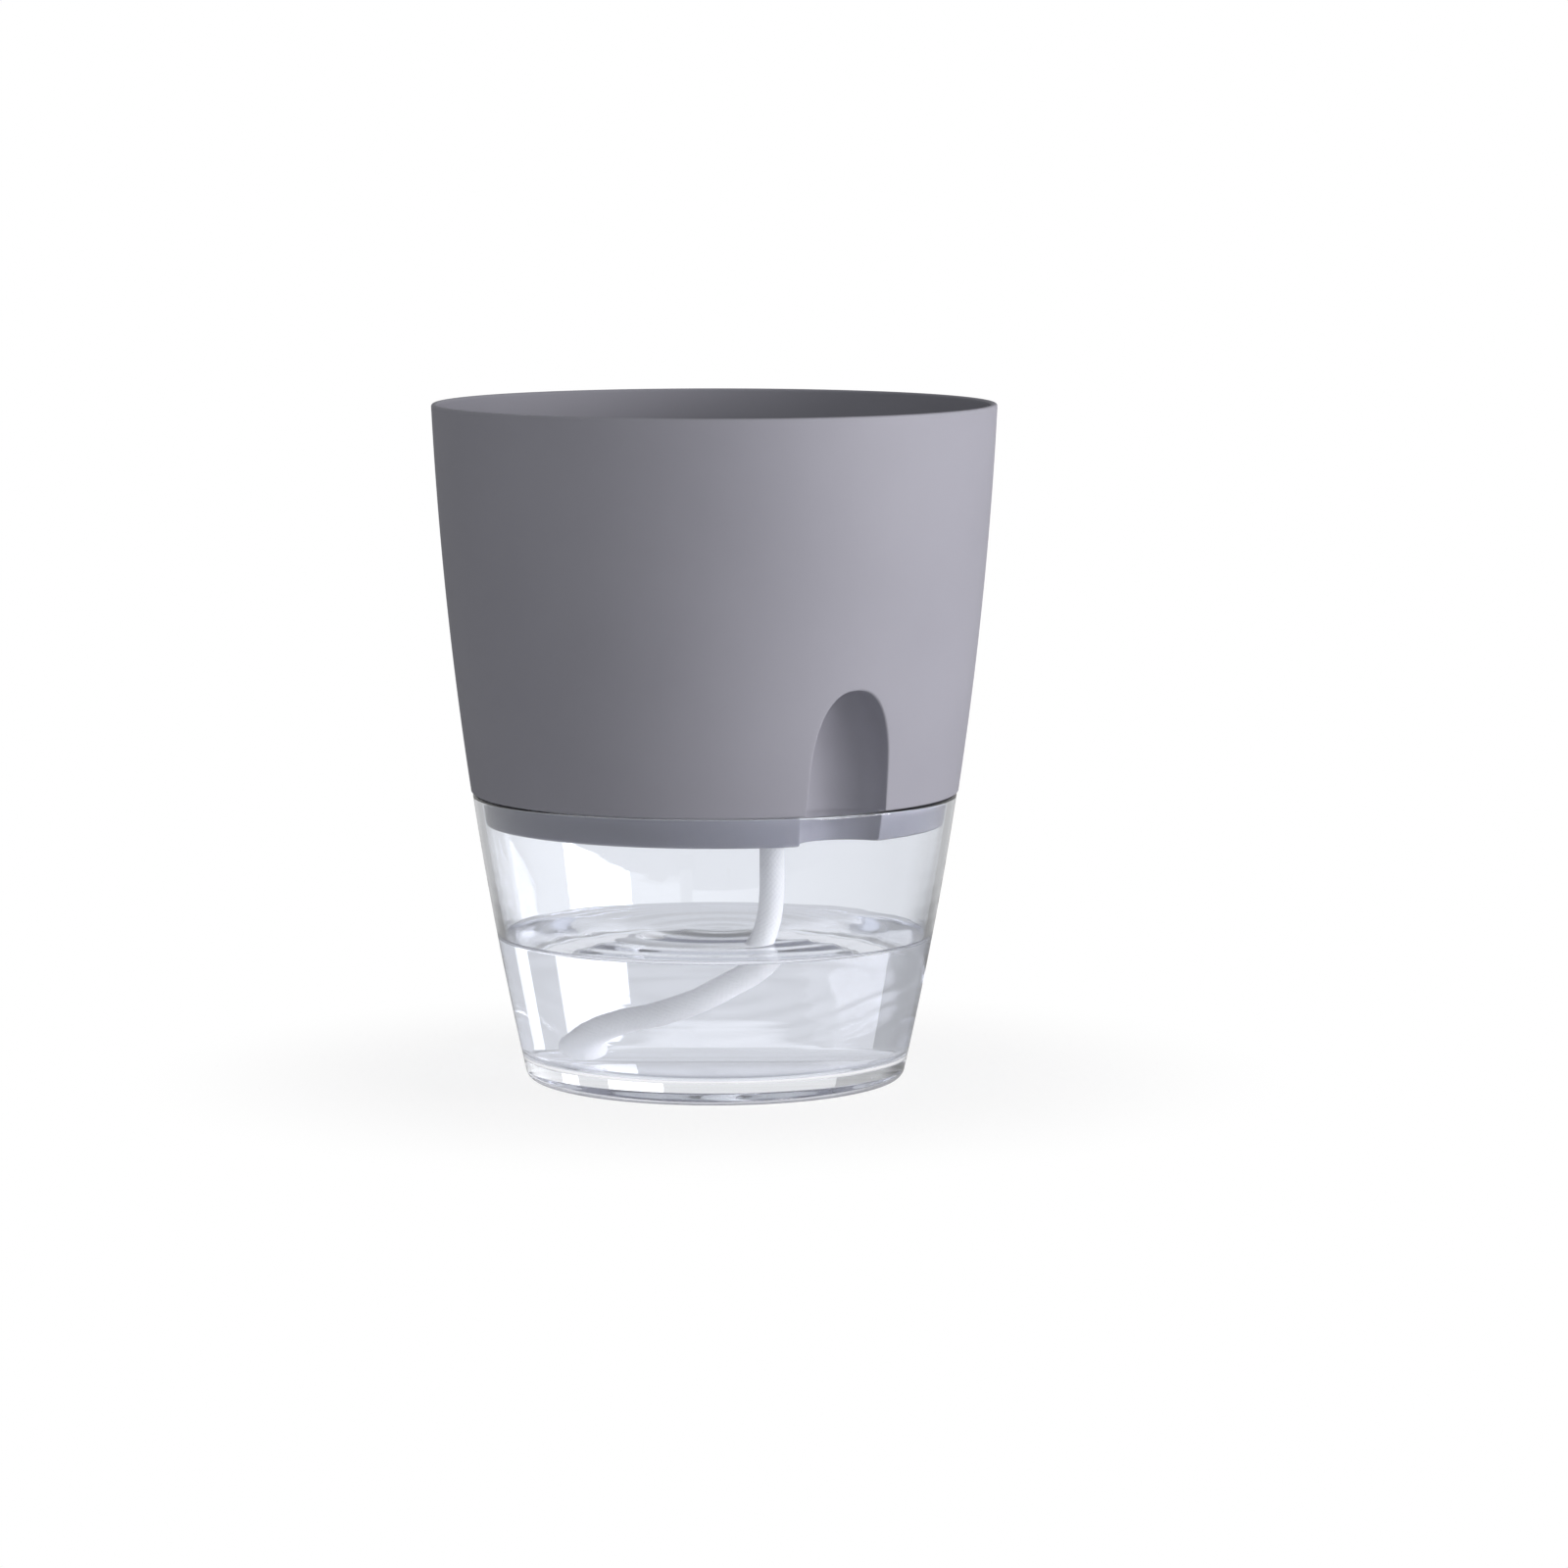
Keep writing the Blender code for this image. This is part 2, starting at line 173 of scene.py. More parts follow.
def closeMaterial(tree, relief, depth, inputs, strength=1.0):
    # every material of the pot ends alike: one shader, with a relief in its faces
    bump = addNode(
        tree, "ShaderNodeBump",
        {"Height": relief.outputs["Fac"], "Strength": strength, "Distance": metres(depth)},
    )
    shader = addNode(tree, "ShaderNodeBsdfPrincipled", {**inputs, "Normal": bump.outputs["Normal"]})
    addNode(tree, "ShaderNodeOutputMaterial", {"Surface": shader})


# wick: a soft braided cord, drawn through the boss in the planter's floor
wickShape = {
    "radius": 3.5,
    "ringSpacing": 0.3,
    "pointsAround": 96,
    "strands": 16,  # each way round
    "lay": 26.0,  # length in which a strand goes once round
    "strandHeight": 0.11,
    "endRounding": 1.1,  # the cut end is pressed a little round
    "bossMiddle": (0.0, -30.0, 73.05),
    "exit": 2.85,  # from the boss's middle to its ends, where the cord comes out
    "lengthBelow": 108.8,
    "lengthAbove": 98.0,
}
# the cord's middle line as offsets from the boss: down to the reservoir's floor, and up into the soil
wickDown = [
    (0, 0, -0.15), (0, 0, -9.5), (0.6, 1, -17), (1.2, 3.4, -24.5), (1.1, 7.8, -32), (-0.7, 12.8, -37),
    (-3.6, 18.7, -41), (-6.4, 24.5, -44.9), (-8.9, 30.9, -48), (-10.9, 38, -50.6), (-11.8, 45.1, -52.4),
    (-12.3, 51.8, -54.9), (-10.7, 58.4, -58.2), (-6.9, 64.5, -61.2), (-1.3, 69, -62.7),
]
wickUp = [
    (0, 0, 0.15), (0, 0, 10.5), (0.1, 1.4, 16.8), (0.4, 5.4, 22), (0.9, 11.1, 25), (1.5, 18, 25),
    (2.1, 24.6, 21.8), (2.5, 31, 16.4), (2.6, 37.4, 11), (2.2, 44.4, 7.6), (1, 51.6, 6.7),
    (-1.6, 58.4, 6.7), (-5.6, 64.6, 6.7), (-10.4, 69.6, 6.7),
]


def smoothLine(points, spacing):
    # an even chain of points on a smooth curve through the given ones
    line = [np.array(p, dtype=float) for p in points]
    ends = [2 * line[0] - line[1]] + line + [2 * line[-1] - line[-2]]
    dense = []
    for a, b, c, d in zip(ends, ends[1:], ends[2:], ends[3:]):
        slope, bend, twist = c - a, 2 * a - 5 * b + 4 * c - d, 3 * b - a - 3 * c + d
        for t in np.arange(0, 1, 0.025):
            dense.append(0.5 * (2 * b + slope * t + bend * t**2 + twist * t**3))
    dense = np.array(dense + [line[-1]])
    reach = np.concatenate([[0], np.cumsum(np.linalg.norm(np.diff(dense, axis=0), axis=1))])
    marks = np.linspace(0, reach[-1], round(reach[-1] / spacing) + 1)
    return np.column_stack([np.interp(marks, reach, dense[:, axis]) for axis in range(3)])


cottonLook = {
    # the grooves' tone is painted shade, greyer than the yarn's own colour
    "paintedGrooveShade": "#EBEBEC",
    "crown": "#FBFBFA",
    "crownStart": 0.6,  # share of a strand's height from which it has the crown's tone
    "fibreScale": 2600.0,  # about 0.4 mm, coarser than real fibres, so that they show
    "fibreDepth": 0.12,
    "stainScale": 60.0,
    "stain": 0.05,
    "roughness": 0.88,
    "sheen": 0.35,
    "glow": 0.4,  # light that soaks into the yarn
    "glowDepth": 1.5,
}


def makeCottonMaterial():
    # braided cotton yarn: matt, soft and near white, with painted shade that makes it greyer in the grooves
    # between its strands
    look = cottonLook
    material, tree, place = newMaterial("braided_cotton_cord")
    strand = addNode(tree, "ShaderNodeAttribute", attribute_name="strand")
    fibres = addNode(
        tree, "ShaderNodeTexNoise",
        {"Vector": place, "Scale": look["fibreScale"], "Detail": 3.0, "Roughness": 0.6},
    )
    stain = addNode(tree, "ShaderNodeTexNoise", {"Vector": place, "Scale": look["stainScale"], "Detail": 2.0})
    # painted shade: the groove tone where a strand lies low, the crown tone on its top
    paintedGrooveTone = addNode(tree, "ShaderNodeValToRGB", {"Fac": strand.outputs["Fac"]})
    paintedGrooveTone.color_ramp.elements[0].color = linearColour(look["paintedGrooveShade"])
    paintedGrooveTone.color_ramp.elements[1].color = linearColour(look["crown"])
    paintedGrooveTone.color_ramp.elements[1].position = look["crownStart"]
    # real stains, multiplied over the painted shade of the grooves
    stainsAndGrooveShade = addNode(
        tree, "ShaderNodeMix", {0: look["stain"], 6: paintedGrooveTone.outputs["Color"], 7: stain.outputs["Fac"]},
        data_type="RGBA", blend_type="MULTIPLY",
    )
    inputs = {
        "Base Color": stainsAndGrooveShade.outputs[2],
        "Roughness": look["roughness"],
        "IOR": 1.53,
        "Specular IOR Level": 0.25,
        "Sheen Weight": look["sheen"],
        "Sheen Roughness": 0.5,
        "Subsurface Weight": look["glow"],
        "Subsurface Radius": (1.0, 1.0, 1.0),
        "Subsurface Scale": metres(look["glowDepth"]),
    }
    closeMaterial(tree, fibres, look["fibreDepth"], inputs, strength=0.35)
    return material


def makeBraidTree():
    # a tube along a curve, its strands crossing over and under each other
    numbers = ["Radius", "Strands", "Lay", "Strand height", "End rounding"]
    tree, value = openTree("braidedCord", numbers, ["Around"])
    spline = addNode(tree, "GeometryNodeSplineParameter")
    along = addNode(
        tree, "GeometryNodeStoreNamedAttribute",
        {"Geometry": value["Geometry"], "Name": "along", "Value": spline.outputs["Length"]},
    )
    inside = addNode(tree, "ShaderNodeMath", [value["Radius"], value["Strand height"]], operation="SUBTRACT")
    ring = addNode(
        tree, "GeometryNodeCurvePrimitiveCircle", {"Resolution": value["Around"], "Radius": inside}
    )
    around = addNode(
        tree, "GeometryNodeStoreNamedAttribute",
        {"Geometry": ring, "Name": "around", "Value": spline.outputs["Factor"]},
    )
    # the last ring closes in by 40%, so that the cut end is a little round
    whole = addNode(tree, "GeometryNodeSplineLength")
    toEnd = addNode(
        tree, "ShaderNodeMath", [whole.outputs["Length"], spline.outputs["Length"]], operation="SUBTRACT"
    )
    nearEnd = addNode(
        tree, "ShaderNodeMath", [toEnd, value["End rounding"]], operation="DIVIDE", use_clamp=True
    )
    left = addNode(tree, "ShaderNodeMath", [1.0, nearEnd], operation="SUBTRACT")
    square = addNode(tree, "ShaderNodeMath", [left, 2.0], operation="POWER")
    narrow = addNode(tree, "ShaderNodeMath", [square, -0.4, 1.0], operation="MULTIPLY_ADD")
    sized = addNode(tree, "GeometryNodeSetCurveRadius", {"Curve": along, "Radius": narrow})
    tube = addNode(
        tree, "GeometryNodeCurveToMesh", {"Curve": sized, "Profile Curve": around, "Fill Caps": True}
    )
    if "Scale" in tube.inputs:
        tree.links.new(addNode(tree, "GeometryNodeInputRadius").outputs[0], tube.inputs["Scale"])
    alongRead = addNode(tree, "GeometryNodeInputNamedAttribute", {"Name": "along"})
    aroundRead = addNode(tree, "GeometryNodeInputNamedAttribute", {"Name": "around"})
    # half phases of the two families of strands
    turnPart = addNode(tree, "ShaderNodeMath", [aroundRead, value["Strands"]], operation="MULTIPLY")
    turns = addNode(tree, "ShaderNodeMath", [alongRead, value["Lay"]], operation="DIVIDE")
    lengthPart = addNode(tree, "ShaderNodeMath", [turns, value["Strands"]], operation="MULTIPLY")
    waves = []
    for operation in ("ADD", "SUBTRACT"):
        phase = addNode(tree, "ShaderNodeMath", [turnPart, lengthPart], operation=operation)
        halfTurn = addNode(tree, "ShaderNodeMath", [phase, math.pi], operation="MULTIPLY")
        waves.append(addNode(tree, "ShaderNodeMath", [halfTurn], operation="SINE"))
    sizes = [addNode(tree, "ShaderNodeMath", [wave], operation="ABSOLUTE") for wave in waves]
    # a strand is round across, and dives where it crosses the others
    crowns = []
    for across, lengthways in (sizes, sizes[::-1]):
        width = addNode(tree, "ShaderNodeMath", [across, 0.7], operation="POWER")
        dive = addNode(tree, "ShaderNodeMath", [lengthways, 0.25], operation="POWER")
        crowns.append(addNode(tree, "ShaderNodeMath", [width, dive], operation="MULTIPLY"))
    over = addNode(tree, "ShaderNodeMath", [waves[0], waves[1]], operation="MULTIPLY")
    onTop = addNode(tree, "ShaderNodeMath", [over, 0.0], operation="GREATER_THAN")
    height = addNode(tree, "ShaderNodeMix", {0: onTop, 2: crowns[0], 3: crowns[1]})
    stored = addNode(
        tree, "GeometryNodeStoreNamedAttribute", {"Geometry": tube, "Name": "strand", "Value": height}
    )
    lift = addNode(tree, "ShaderNodeMath", [height, value["Strand height"]], operation="MULTIPLY")
    normal = addNode(tree, "GeometryNodeInputNormal")
    offset = addNode(tree, "ShaderNodeVectorMath", {0: normal, "Scale": lift}, operation="SCALE")
    braided = addNode(tree, "GeometryNodeSetPosition", {"Geometry": stored, "Offset": offset})
    closeTree(tree, braided, value)
    return tree


cotton = makeCottonMaterial()
braidTree = makeBraidTree()


def makeWick(name, route, node):
    middle = np.array(wickShape["bossMiddle"])
    centres = (smoothLine(route, wickShape["ringSpacing"]) + middle) * 0.001
    curve = bpy.data.curves.new(name, "CURVE")
    curve.dimensions = "3D"
    spline = curve.splines.new("POLY")
    spline.points.add(len(centres) - 1)
    spline.points.foreach_set("co", np.column_stack([centres, np.ones(len(centres))]).ravel())
    cord = addObject(name, curve)
    sizes = {
        "Radius": metres(wickShape["radius"]),
        "Around": wickShape["pointsAround"],
        "Strands": float(wickShape["strands"]),
        "Lay": metres(wickShape["lay"]),
        "Strand height": metres(wickShape["strandHeight"]),
        "End rounding": metres(wickShape["endRounding"]),
    }
    cord = runTree(cord, braidTree, cotton, **sizes)
    cleanMesh(cord, mergeDistance=0.001)
    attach(cord, "planter")
    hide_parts(node)


makeWick("wick_lower_cord", wickDown, "wick_lower")
makeWick("wick_upper_cord", wickUp, "wick_upper")
print("wick made")


# the pot's sizes, as its solids have them
potShape = {
    "rimRadius": 80.0,
    "rimDraft": 2.7,
    "sideBow": 1106.0,
    "reservoirHeight": 82.0,
    "seatGap": 0.3,
    "shellHeight": 110.0,
    "reservoirInset": 0.3,
    "reservoirWall": 2.2,
    "reservoirFloor": 3.0,
    "floorFillet": 4.0,
    "heelRound": 3.0,
    "footWidth": 12.0,
    "footRecess": 3.5,
    "wallRings": 14,  # of the mesh, up each face of the reservoir's wall
    "recessSlope": 2.0,
    "rimRound": 0.8,
    "skirtClearance": 0.4,
}
shoulderLevel = potShape["reservoirHeight"] + potShape["seatGap"]
topLevel = shoulderLevel + potShape["shellHeight"]
waterFloor = potShape["footRecess"] + potShape["reservoirFloor"]
wallStart = waterFloor + 6  # above the floor's fillet


def sideRadius(z):
    # the outside of the pot: one long, shallow arc
    draft = math.radians(potShape["rimDraft"])
    lean = math.sin(draft) + (topLevel - z) / potShape["sideBow"]
    return potShape["rimRadius"] - potShape["sideBow"] * (math.cos(draft) - math.sqrt(1 - lean * lean))


def reservoirOutside(z):
    return sideRadius(z) - potShape["reservoirInset"]


def reservoirInside(z):
    return reservoirOutside(z) - potShape["reservoirWall"]


def skirtOutside(z):
    return reservoirInside(z) - potShape["skirtClearance"]


def between(start, end, count):
    return [start + (end - start) * i / count for i in range(1, count)]


def roundedProfile(corners, support=0.0):
    # points (r, z) from corners (r, z, radius, steps); with support, a long straight run gets a point
    # that far from each of its ends
    points = [Vector(c[:2]) for c in corners]
    runs = []
    for i, corner in enumerate(corners):
        if len(corner) == 2:
            runs.append([points[i]])
            continue
        toBefore = (points[i - 1] - points[i]).normalized()
        toAfter = (points[i + 1] - points[i]).normalized()
        half = toBefore.angle(toAfter) / 2
        sides = [(points[j] - points[i]).length for j in (i - 1, i + 1)]
        longest = 0.48 * min(sides)  # two arcs share one run without touching
        reach = min(corner[2] / math.tan(half), longest)
        radius = reach * math.tan(half)
        centre = points[i] + (toBefore + toAfter).normalized() * (radius / math.sin(half))
        first = points[i] + toBefore * reach - centre
        last = points[i] + toAfter * reach - centre
        sweep = first.angle_signed(last)
        arc = []
        for step in range(corner[3] + 1):
            turn = -sweep * step / corner[3]
            c, s = math.cos(turn), math.sin(turn)
            arc.append(centre + Vector((c * first.x - s * first.y, s * first.x + c * first.y)))
        runs.append(arc)
    profile = []
    for run in runs:
        before = profile[-1] if profile else run[0]
        gap = (run[0] - before).length
        if support and gap > 4 * support:
            share = support / gap
            profile += [before.lerp(run[0], share), before.lerp(run[0], 1 - share)]
        profile += run
    return profile


def makeTurnedTree():
    # a profile line taken round the axis, as a grid with its seam and poles merged
    tree, value = openTree("turnedBody", [], ["Steps"])
    profile, steps = value["Geometry"], value["Steps"]
    count = addNode(tree, "GeometryNodeAttributeDomainSize", {"Geometry": profile})
    columns = addNode(tree, "ShaderNodeMath", [steps, 1.0], operation="ADD")
    grid = addNode(tree, "GeometryNodeMeshGrid", {"Vertices X": columns, "Vertices Y": count})
    index = addNode(tree, "GeometryNodeInputIndex")
    share = addNode(tree, "ShaderNodeMath", [index, count], operation="DIVIDE")
    column = addNode(tree, "ShaderNodeMath", [share], operation="FLOOR")
    row = addNode(tree, "ShaderNodeMath", [index, count], operation="MODULO")
    place = addNode(tree, "GeometryNodeInputPosition")
    sample = addNode(
        tree, "GeometryNodeSampleIndex", {"Geometry": profile, "Value": place, "Index": row},
        data_type="FLOAT_VECTOR",
    )
    whole = addNode(tree, "ShaderNodeMath", [column, steps], operation="DIVIDE")
    angle = addNode(tree, "ShaderNodeMath", [whole, 2 * math.pi], operation="MULTIPLY")
    turned = addNode(
        tree, "ShaderNodeVectorRotate", {"Vector": sample, "Angle": angle}, rotation_type="Z_AXIS"
    )
    placed = addNode(tree, "GeometryNodeSetPosition", {"Geometry": grid, "Position": turned})
    joined = addNode(
        tree, "GeometryNodeMergeByDistance", {"Geometry": placed, "Distance": metres(doublesWithin)}
    )
    closeTree(tree, joined, value)
    return tree


turnedTree = makeTurnedTree()


def turnedBody(name, profile, material, steps=256):
    line = bpy.data.meshes.new(name)
    points = [(metres(r), 0, metres(z)) for r, z in profile]
    line.from_pydata(points, [(i, i + 1) for i in range(len(profile) - 1)], [])
    return runTree(addObject(name, line), turnedTree, material, Steps=steps)


# reservoir: a clear cup with a recessed foot and a thick, bright wall
cupLook = {
    "tint": "#F9FBFF",
    "waveScale": 42.0,  # the moulding's waves, about 24 mm long
    "waveDepth": 0.01,
    "hazeScale": 25.0,
    "haze": 0.03,  # most roughness of the polished faces
    "frost": 0.4,  # roughness of the face that it stands on
    "frostLevels": (0.6, 0.1),  # the frost starts at the first and is full at the second
}


def makeClearMaterial():
    # clear styrene plastic from a polished tool: glassy, with the faint waviness of a moulding
    look = cupLook
    material, tree, place = newMaterial("clear_styrene_moulded")
    flow = addNode(
        tree, "ShaderNodeTexNoise",
        {"Vector": place, "Scale": look["waveScale"], "Detail": 1.0, "Roughness": 0.4, "Distortion": 0.6},
    )
    haze = addNode(tree, "ShaderNodeTexNoise", {"Vector": place, "Scale": look["hazeScale"], "Detail": 4.0})
    polish = addNode(tree, "ShaderNodeMapRange", {"Value": haze.outputs["Fac"], "To Max": look["haze"]})
    # the face that it stands on comes from an unpolished insert
    height = addNode(tree, "ShaderNodeSeparateXYZ", [place])
    clear, frosted = look["frostLevels"]
    frost = addNode(
        tree, "ShaderNodeMapRange",
        {
            "Value": height.outputs["Z"], "From Min": metres(frosted), "From Max": metres(clear),
            "To Min": look["frost"], "To Max": 0.0,
        },
    )
    rough = addNode(tree, "ShaderNodeMath", [polish, frost], operation="ADD")
    inputs = {
        "Base Color": linearColour(look["tint"]), "Roughness": rough, "IOR": 1.57, "Transmission Weight": 1.0
    }
    closeMaterial(tree, flow, look["waveDepth"], inputs)
    return material


def makeReservoir():
    shape = potShape
    height, rings = shape["reservoirHeight"], shape["wallRings"]
    foot = reservoirOutside(0)
    corners = [(0, waterFloor), (reservoirInside(waterFloor), waterFloor, shape["floorFillet"], 12)]
    corners += [(reservoirInside(z), z) for z in between(wallStart, height, rings)]
    corners += [(reservoirInside(height), height, shape["rimRound"], 8)]
    corners += [(reservoirOutside(height), height, shape["rimRound"], 8)]
    corners += [(reservoirOutside(z), z) for z in between(height, 5, rings)]  # down to the heel
    corners += [(foot, 0, shape["heelRound"], 12), (foot - shape["footWidth"], 0, shape["rimRound"], 6)]
    recess = foot - shape["footWidth"] - shape["recessSlope"]
    corners += [(recess, shape["footRecess"], shape["rimRound"], 6), (0, shape["footRecess"])]
    profile = roundedProfile(corners, support=0.5)
    cup = turnedBody("reservoir_cup", profile, makeClearMaterial(), steps=288)
    cleanMesh(cup)
    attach(cup, "reservoir")
    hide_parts("reservoir")


makeReservoir()
print("reservoir made")


# water: fills the lower half of the cup, with a ring of rise at the wall and soft ripples
waterShape = {
    "level": 40.8,
    "intoWall": 0.15,  # it meets the plastic a little inside its surface, so no film of air shows
    "meniscus": 1.2,  # rise at the wall
    "meniscusReach": 2.8,
    "meniscusFall": 3.4,  # how steeply it falls off from the wall
    "meniscusSteps": 14,
    "rippleX": 7.7,
    "rippleY": 9.3,
    "rippleLength": 11.5,
    "rippleHeight": 0.3,
    "rippleReach": 45.0,  # full height up to here, then dying away to the wall
    "ringSpacing": 0.7,
}
waterLook = {
    "tint": "#FAFAFC",
    "swellScale": 90.0,
    "swellDepth": 0.01,
}


def makeWaterMaterial():
    # tap water: clear, a trace of grey blue over its depth
    look = waterLook
    material, tree, place = newMaterial("still_water")
    swell = addNode(tree, "ShaderNodeTexNoise", {"Vector": place, "Scale": look["swellScale"], "Detail": 1.0})
    inputs = {
        "Base Color": linearColour(look["tint"]), "Roughness": 0.0, "IOR": 1.333, "Transmission Weight": 1.0
    }
    closeMaterial(tree, swell, look["swellDepth"], inputs)
    return material


def makeRippleTree():
    # rings that spread from a point near the middle and die away before the wall
    numbers = ["Centre X", "Centre Y", "Wave length", "Wave height", "Level", "Reach", "Edge"]
    tree, value = openTree("rippledWater", numbers, [])
    place = addNode(tree, "GeometryNodeInputPosition")
    parts = addNode(tree, "ShaderNodeSeparateXYZ", [place])
    flat = addNode(tree, "ShaderNodeCombineXYZ", {"X": parts.outputs["X"], "Y": parts.outputs["Y"]})
    centre = addNode(tree, "ShaderNodeCombineXYZ", {"X": value["Centre X"], "Y": value["Centre Y"]})
    away = addNode(tree, "ShaderNodeVectorMath", [flat, centre], operation="DISTANCE")
    waves = addNode(tree, "ShaderNodeMath", [away.outputs["Value"], value["Wave length"]], operation="DIVIDE")
    turn = addNode(tree, "ShaderNodeMath", [waves, 2 * math.pi], operation="MULTIPLY")
    wave = addNode(tree, "ShaderNodeMath", [turn], operation="COSINE")
    fromAxis = addNode(tree, "ShaderNodeVectorMath", [flat], operation="LENGTH")
    near = addNode(
        tree, "ShaderNodeMapRange",
        {"Value": fromAxis.outputs["Value"], "From Min": value["Edge"], "From Max": value["Reach"]},
        interpolation_type="SMOOTHSTEP",
    )
    lowest = addNode(tree, "ShaderNodeMath", [value["Level"], metres(1.0)], operation="SUBTRACT")
    onTop = addNode(tree, "ShaderNodeMath", [parts.outputs["Z"], lowest], operation="GREATER_THAN")
    size = addNode(tree, "ShaderNodeMath", [near, value["Wave height"]], operation="MULTIPLY")
    chosen = addNode(tree, "ShaderNodeMath", [size, onTop], operation="MULTIPLY")
    rise = addNode(tree, "ShaderNodeMath", [wave, chosen], operation="MULTIPLY")
    offset = addNode(tree, "ShaderNodeCombineXYZ", {"Z": rise})
    moved = addNode(tree, "GeometryNodeSetPosition", {"Geometry": value["Geometry"], "Offset": offset})
    closeTree(tree, moved, value)
    return tree


def makeWater():
    shape = waterShape
    level, into = shape["level"], shape["intoWall"]
    bottom = waterFloor - into
    top = level + shape["meniscus"]
    wall = reservoirInside(top) + into
    corners = [(0, bottom), (reservoirInside(waterFloor) + into, bottom, potShape["floorFillet"], 12)]
    corners += [(reservoirInside(z) + into, z) for z in between(wallStart, top, 8)]
    profile = roundedProfile(corners, support=0.5) + [Vector((wall, top))]
    fall, steps = shape["meniscusFall"], shape["meniscusSteps"]
    for i in range(1, steps):
        step = (i / steps) ** 1.4  # closer rings near the wall
        rise = shape["meniscus"] * (math.exp(-fall * step) - math.exp(-fall)) / (1 - math.exp(-fall))
        profile.append(Vector((wall - into - shape["meniscusReach"] * step, level + rise)))
    edge = wall - into - shape["meniscusReach"]
    profile += [Vector((r, level)) for r in np.linspace(edge, 0, round(edge / shape["ringSpacing"]))]
    material = makeWaterMaterial()
    sizes = {
        "Centre X": metres(shape["rippleX"]),
        "Centre Y": metres(shape["rippleY"]),
        "Wave length": metres(shape["rippleLength"]),
        "Wave height": metres(shape["rippleHeight"]) / 2,
        "Level": metres(level),
        "Reach": metres(shape["rippleReach"]),
        "Edge": metres(edge),
    }
    water = turnedBody("water", profile, material, steps=256)
    water = runTree(water, makeRippleTree(), material, **sizes)
    cleanMesh(water, sharpAngle=50)
    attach(water, "reservoir")


makeWater()
print("water made")


# planter: an opaque moulding with a fine matt texture
planterLook = {
    "dark": "#93939C",
    "light": "#9898A1",
    "cloudScale": 18.0,
    "cloudRange": (0.3, 0.7),
    "grainScale": 2500.0,  # the real grain is about 0.1 mm across; 0.4 mm is the finest that shows
    "grainDepth": 0.05,
    "roughness": (0.5, 0.6),
}


def makeMattMaterial():
    # polypropylene from a spark-eroded tool: dull, with a very fine grain that breaks up its highlights
    look = planterLook
    material, tree, place = newMaterial("polypropylene_matt_moulded")
    grain = addNode(
        tree, "ShaderNodeTexNoise",
        {"Vector": place, "Scale": look["grainScale"], "Detail": 2.0, "Roughness": 0.7},
    )
    cloud = addNode(tree, "ShaderNodeTexNoise", {"Vector": place, "Scale": look["cloudScale"], "Detail": 3.0})
    tone = addNode(tree, "ShaderNodeValToRGB", {"Fac": cloud.outputs["Fac"]})
    for element, share, colour in zip(tone.color_ramp.elements, look["cloudRange"], ("dark", "light")):
        element.position = share
        element.color = linearColour(look[colour])
    smoothest, roughest = look["roughness"]
    rough = addNode(
        tree, "ShaderNodeMapRange", {"Value": cloud.outputs["Fac"], "To Min": smoothest, "To Max": roughest}
    )
    inputs = {
        "Base Color": tone.outputs["Color"], "Roughness": rough, "IOR": 1.49, "Specular IOR Level": 0.2
    }
    closeMaterial(tree, grain, look["grainDepth"], inputs, strength=0.3)
    return material


planterShape = {
    "wall": 1.8,
    "rimRound": 0.7,
    "shoulderRound": 0.4,
    "shoulderRise": 3.5,  # the sloping step inside, over the shoulder
    "skirtDepth": 8.6,  # reaches down inside the reservoir
    "skirtRound": 1.2,
    "floor": 2.2,
    "soilFillet": 2.5,
    "columns": 100,  # round half of the pot, past the scoop's frame
    "holeRadius": 3.8,
    "holeRound": 0.5,
    "bossRadius": 5.6,
    "bossDrop": 3.5,
    "bossRound": 0.5,
    "slotCount": 8,  # places round the floor; the one at the scoop has no slot
    "slotWidth": 3.0,
    "slotLength": 13.0,
    "slotRadius": 43.0,
    "cutHeight": 8.0,  # of the tool that cuts the slots, more than the floor's thickness
}
# the scoop at the front, where water is poured in
scoopShape = {
    "halfWidth": 13.1,  # at the shoulder, and also the radius of its round back
    "sink": 1.3,  # its centre lies this far inside the planter's side
    "draft": 2.6,
    "straight": 12.5,  # height above the shoulder at which the sides start to close
    "arch": 22.0,
    "fullness": 2.4,
    "step": 0.35,  # wider below the reservoir's rim
    "edgeRounds": (0.3, 0.65),  # at the skirt, and round the arch
    "soilWall": 2.15,  # from the scoop's face to the soil's
    "soilRounds": (1.3, 1.3),
    "frameTurn": 24.0,  # degrees; the mesh follows the arch up to here
    "frameTop": 126.0,
    "rows": (8, 26),  # along the straight sides and along the arch
    "sideRows": 22,  # of these, the ones that end at the side of the frame
    "steps": 9,  # from the arch to the frame
    "backColumns": 24,
}
skirtBottom = shoulderLevel - planterShape["skirtDepth"]
soilFloor = skirtBottom + planterShape["floor"]
scoopCentre = sideRadius(shoulderLevel) - scoopShape["sink"]


def scoopHalfWidth(z, extra):
    # drafted sides, closed by a full arch, measured this much outside the channel's own face
    height = z - shoulderLevel
    drafted = scoopShape["halfWidth"] + extra - max(height, 0) * math.tan(math.radians(scoopShape["draft"]))
    rise = min(max(height - scoopShape["straight"], 0) / (scoopShape["arch"] + extra), 1)
    return drafted * (1 - rise ** scoopShape["fullness"]) ** (1 / scoopShape["fullness"])


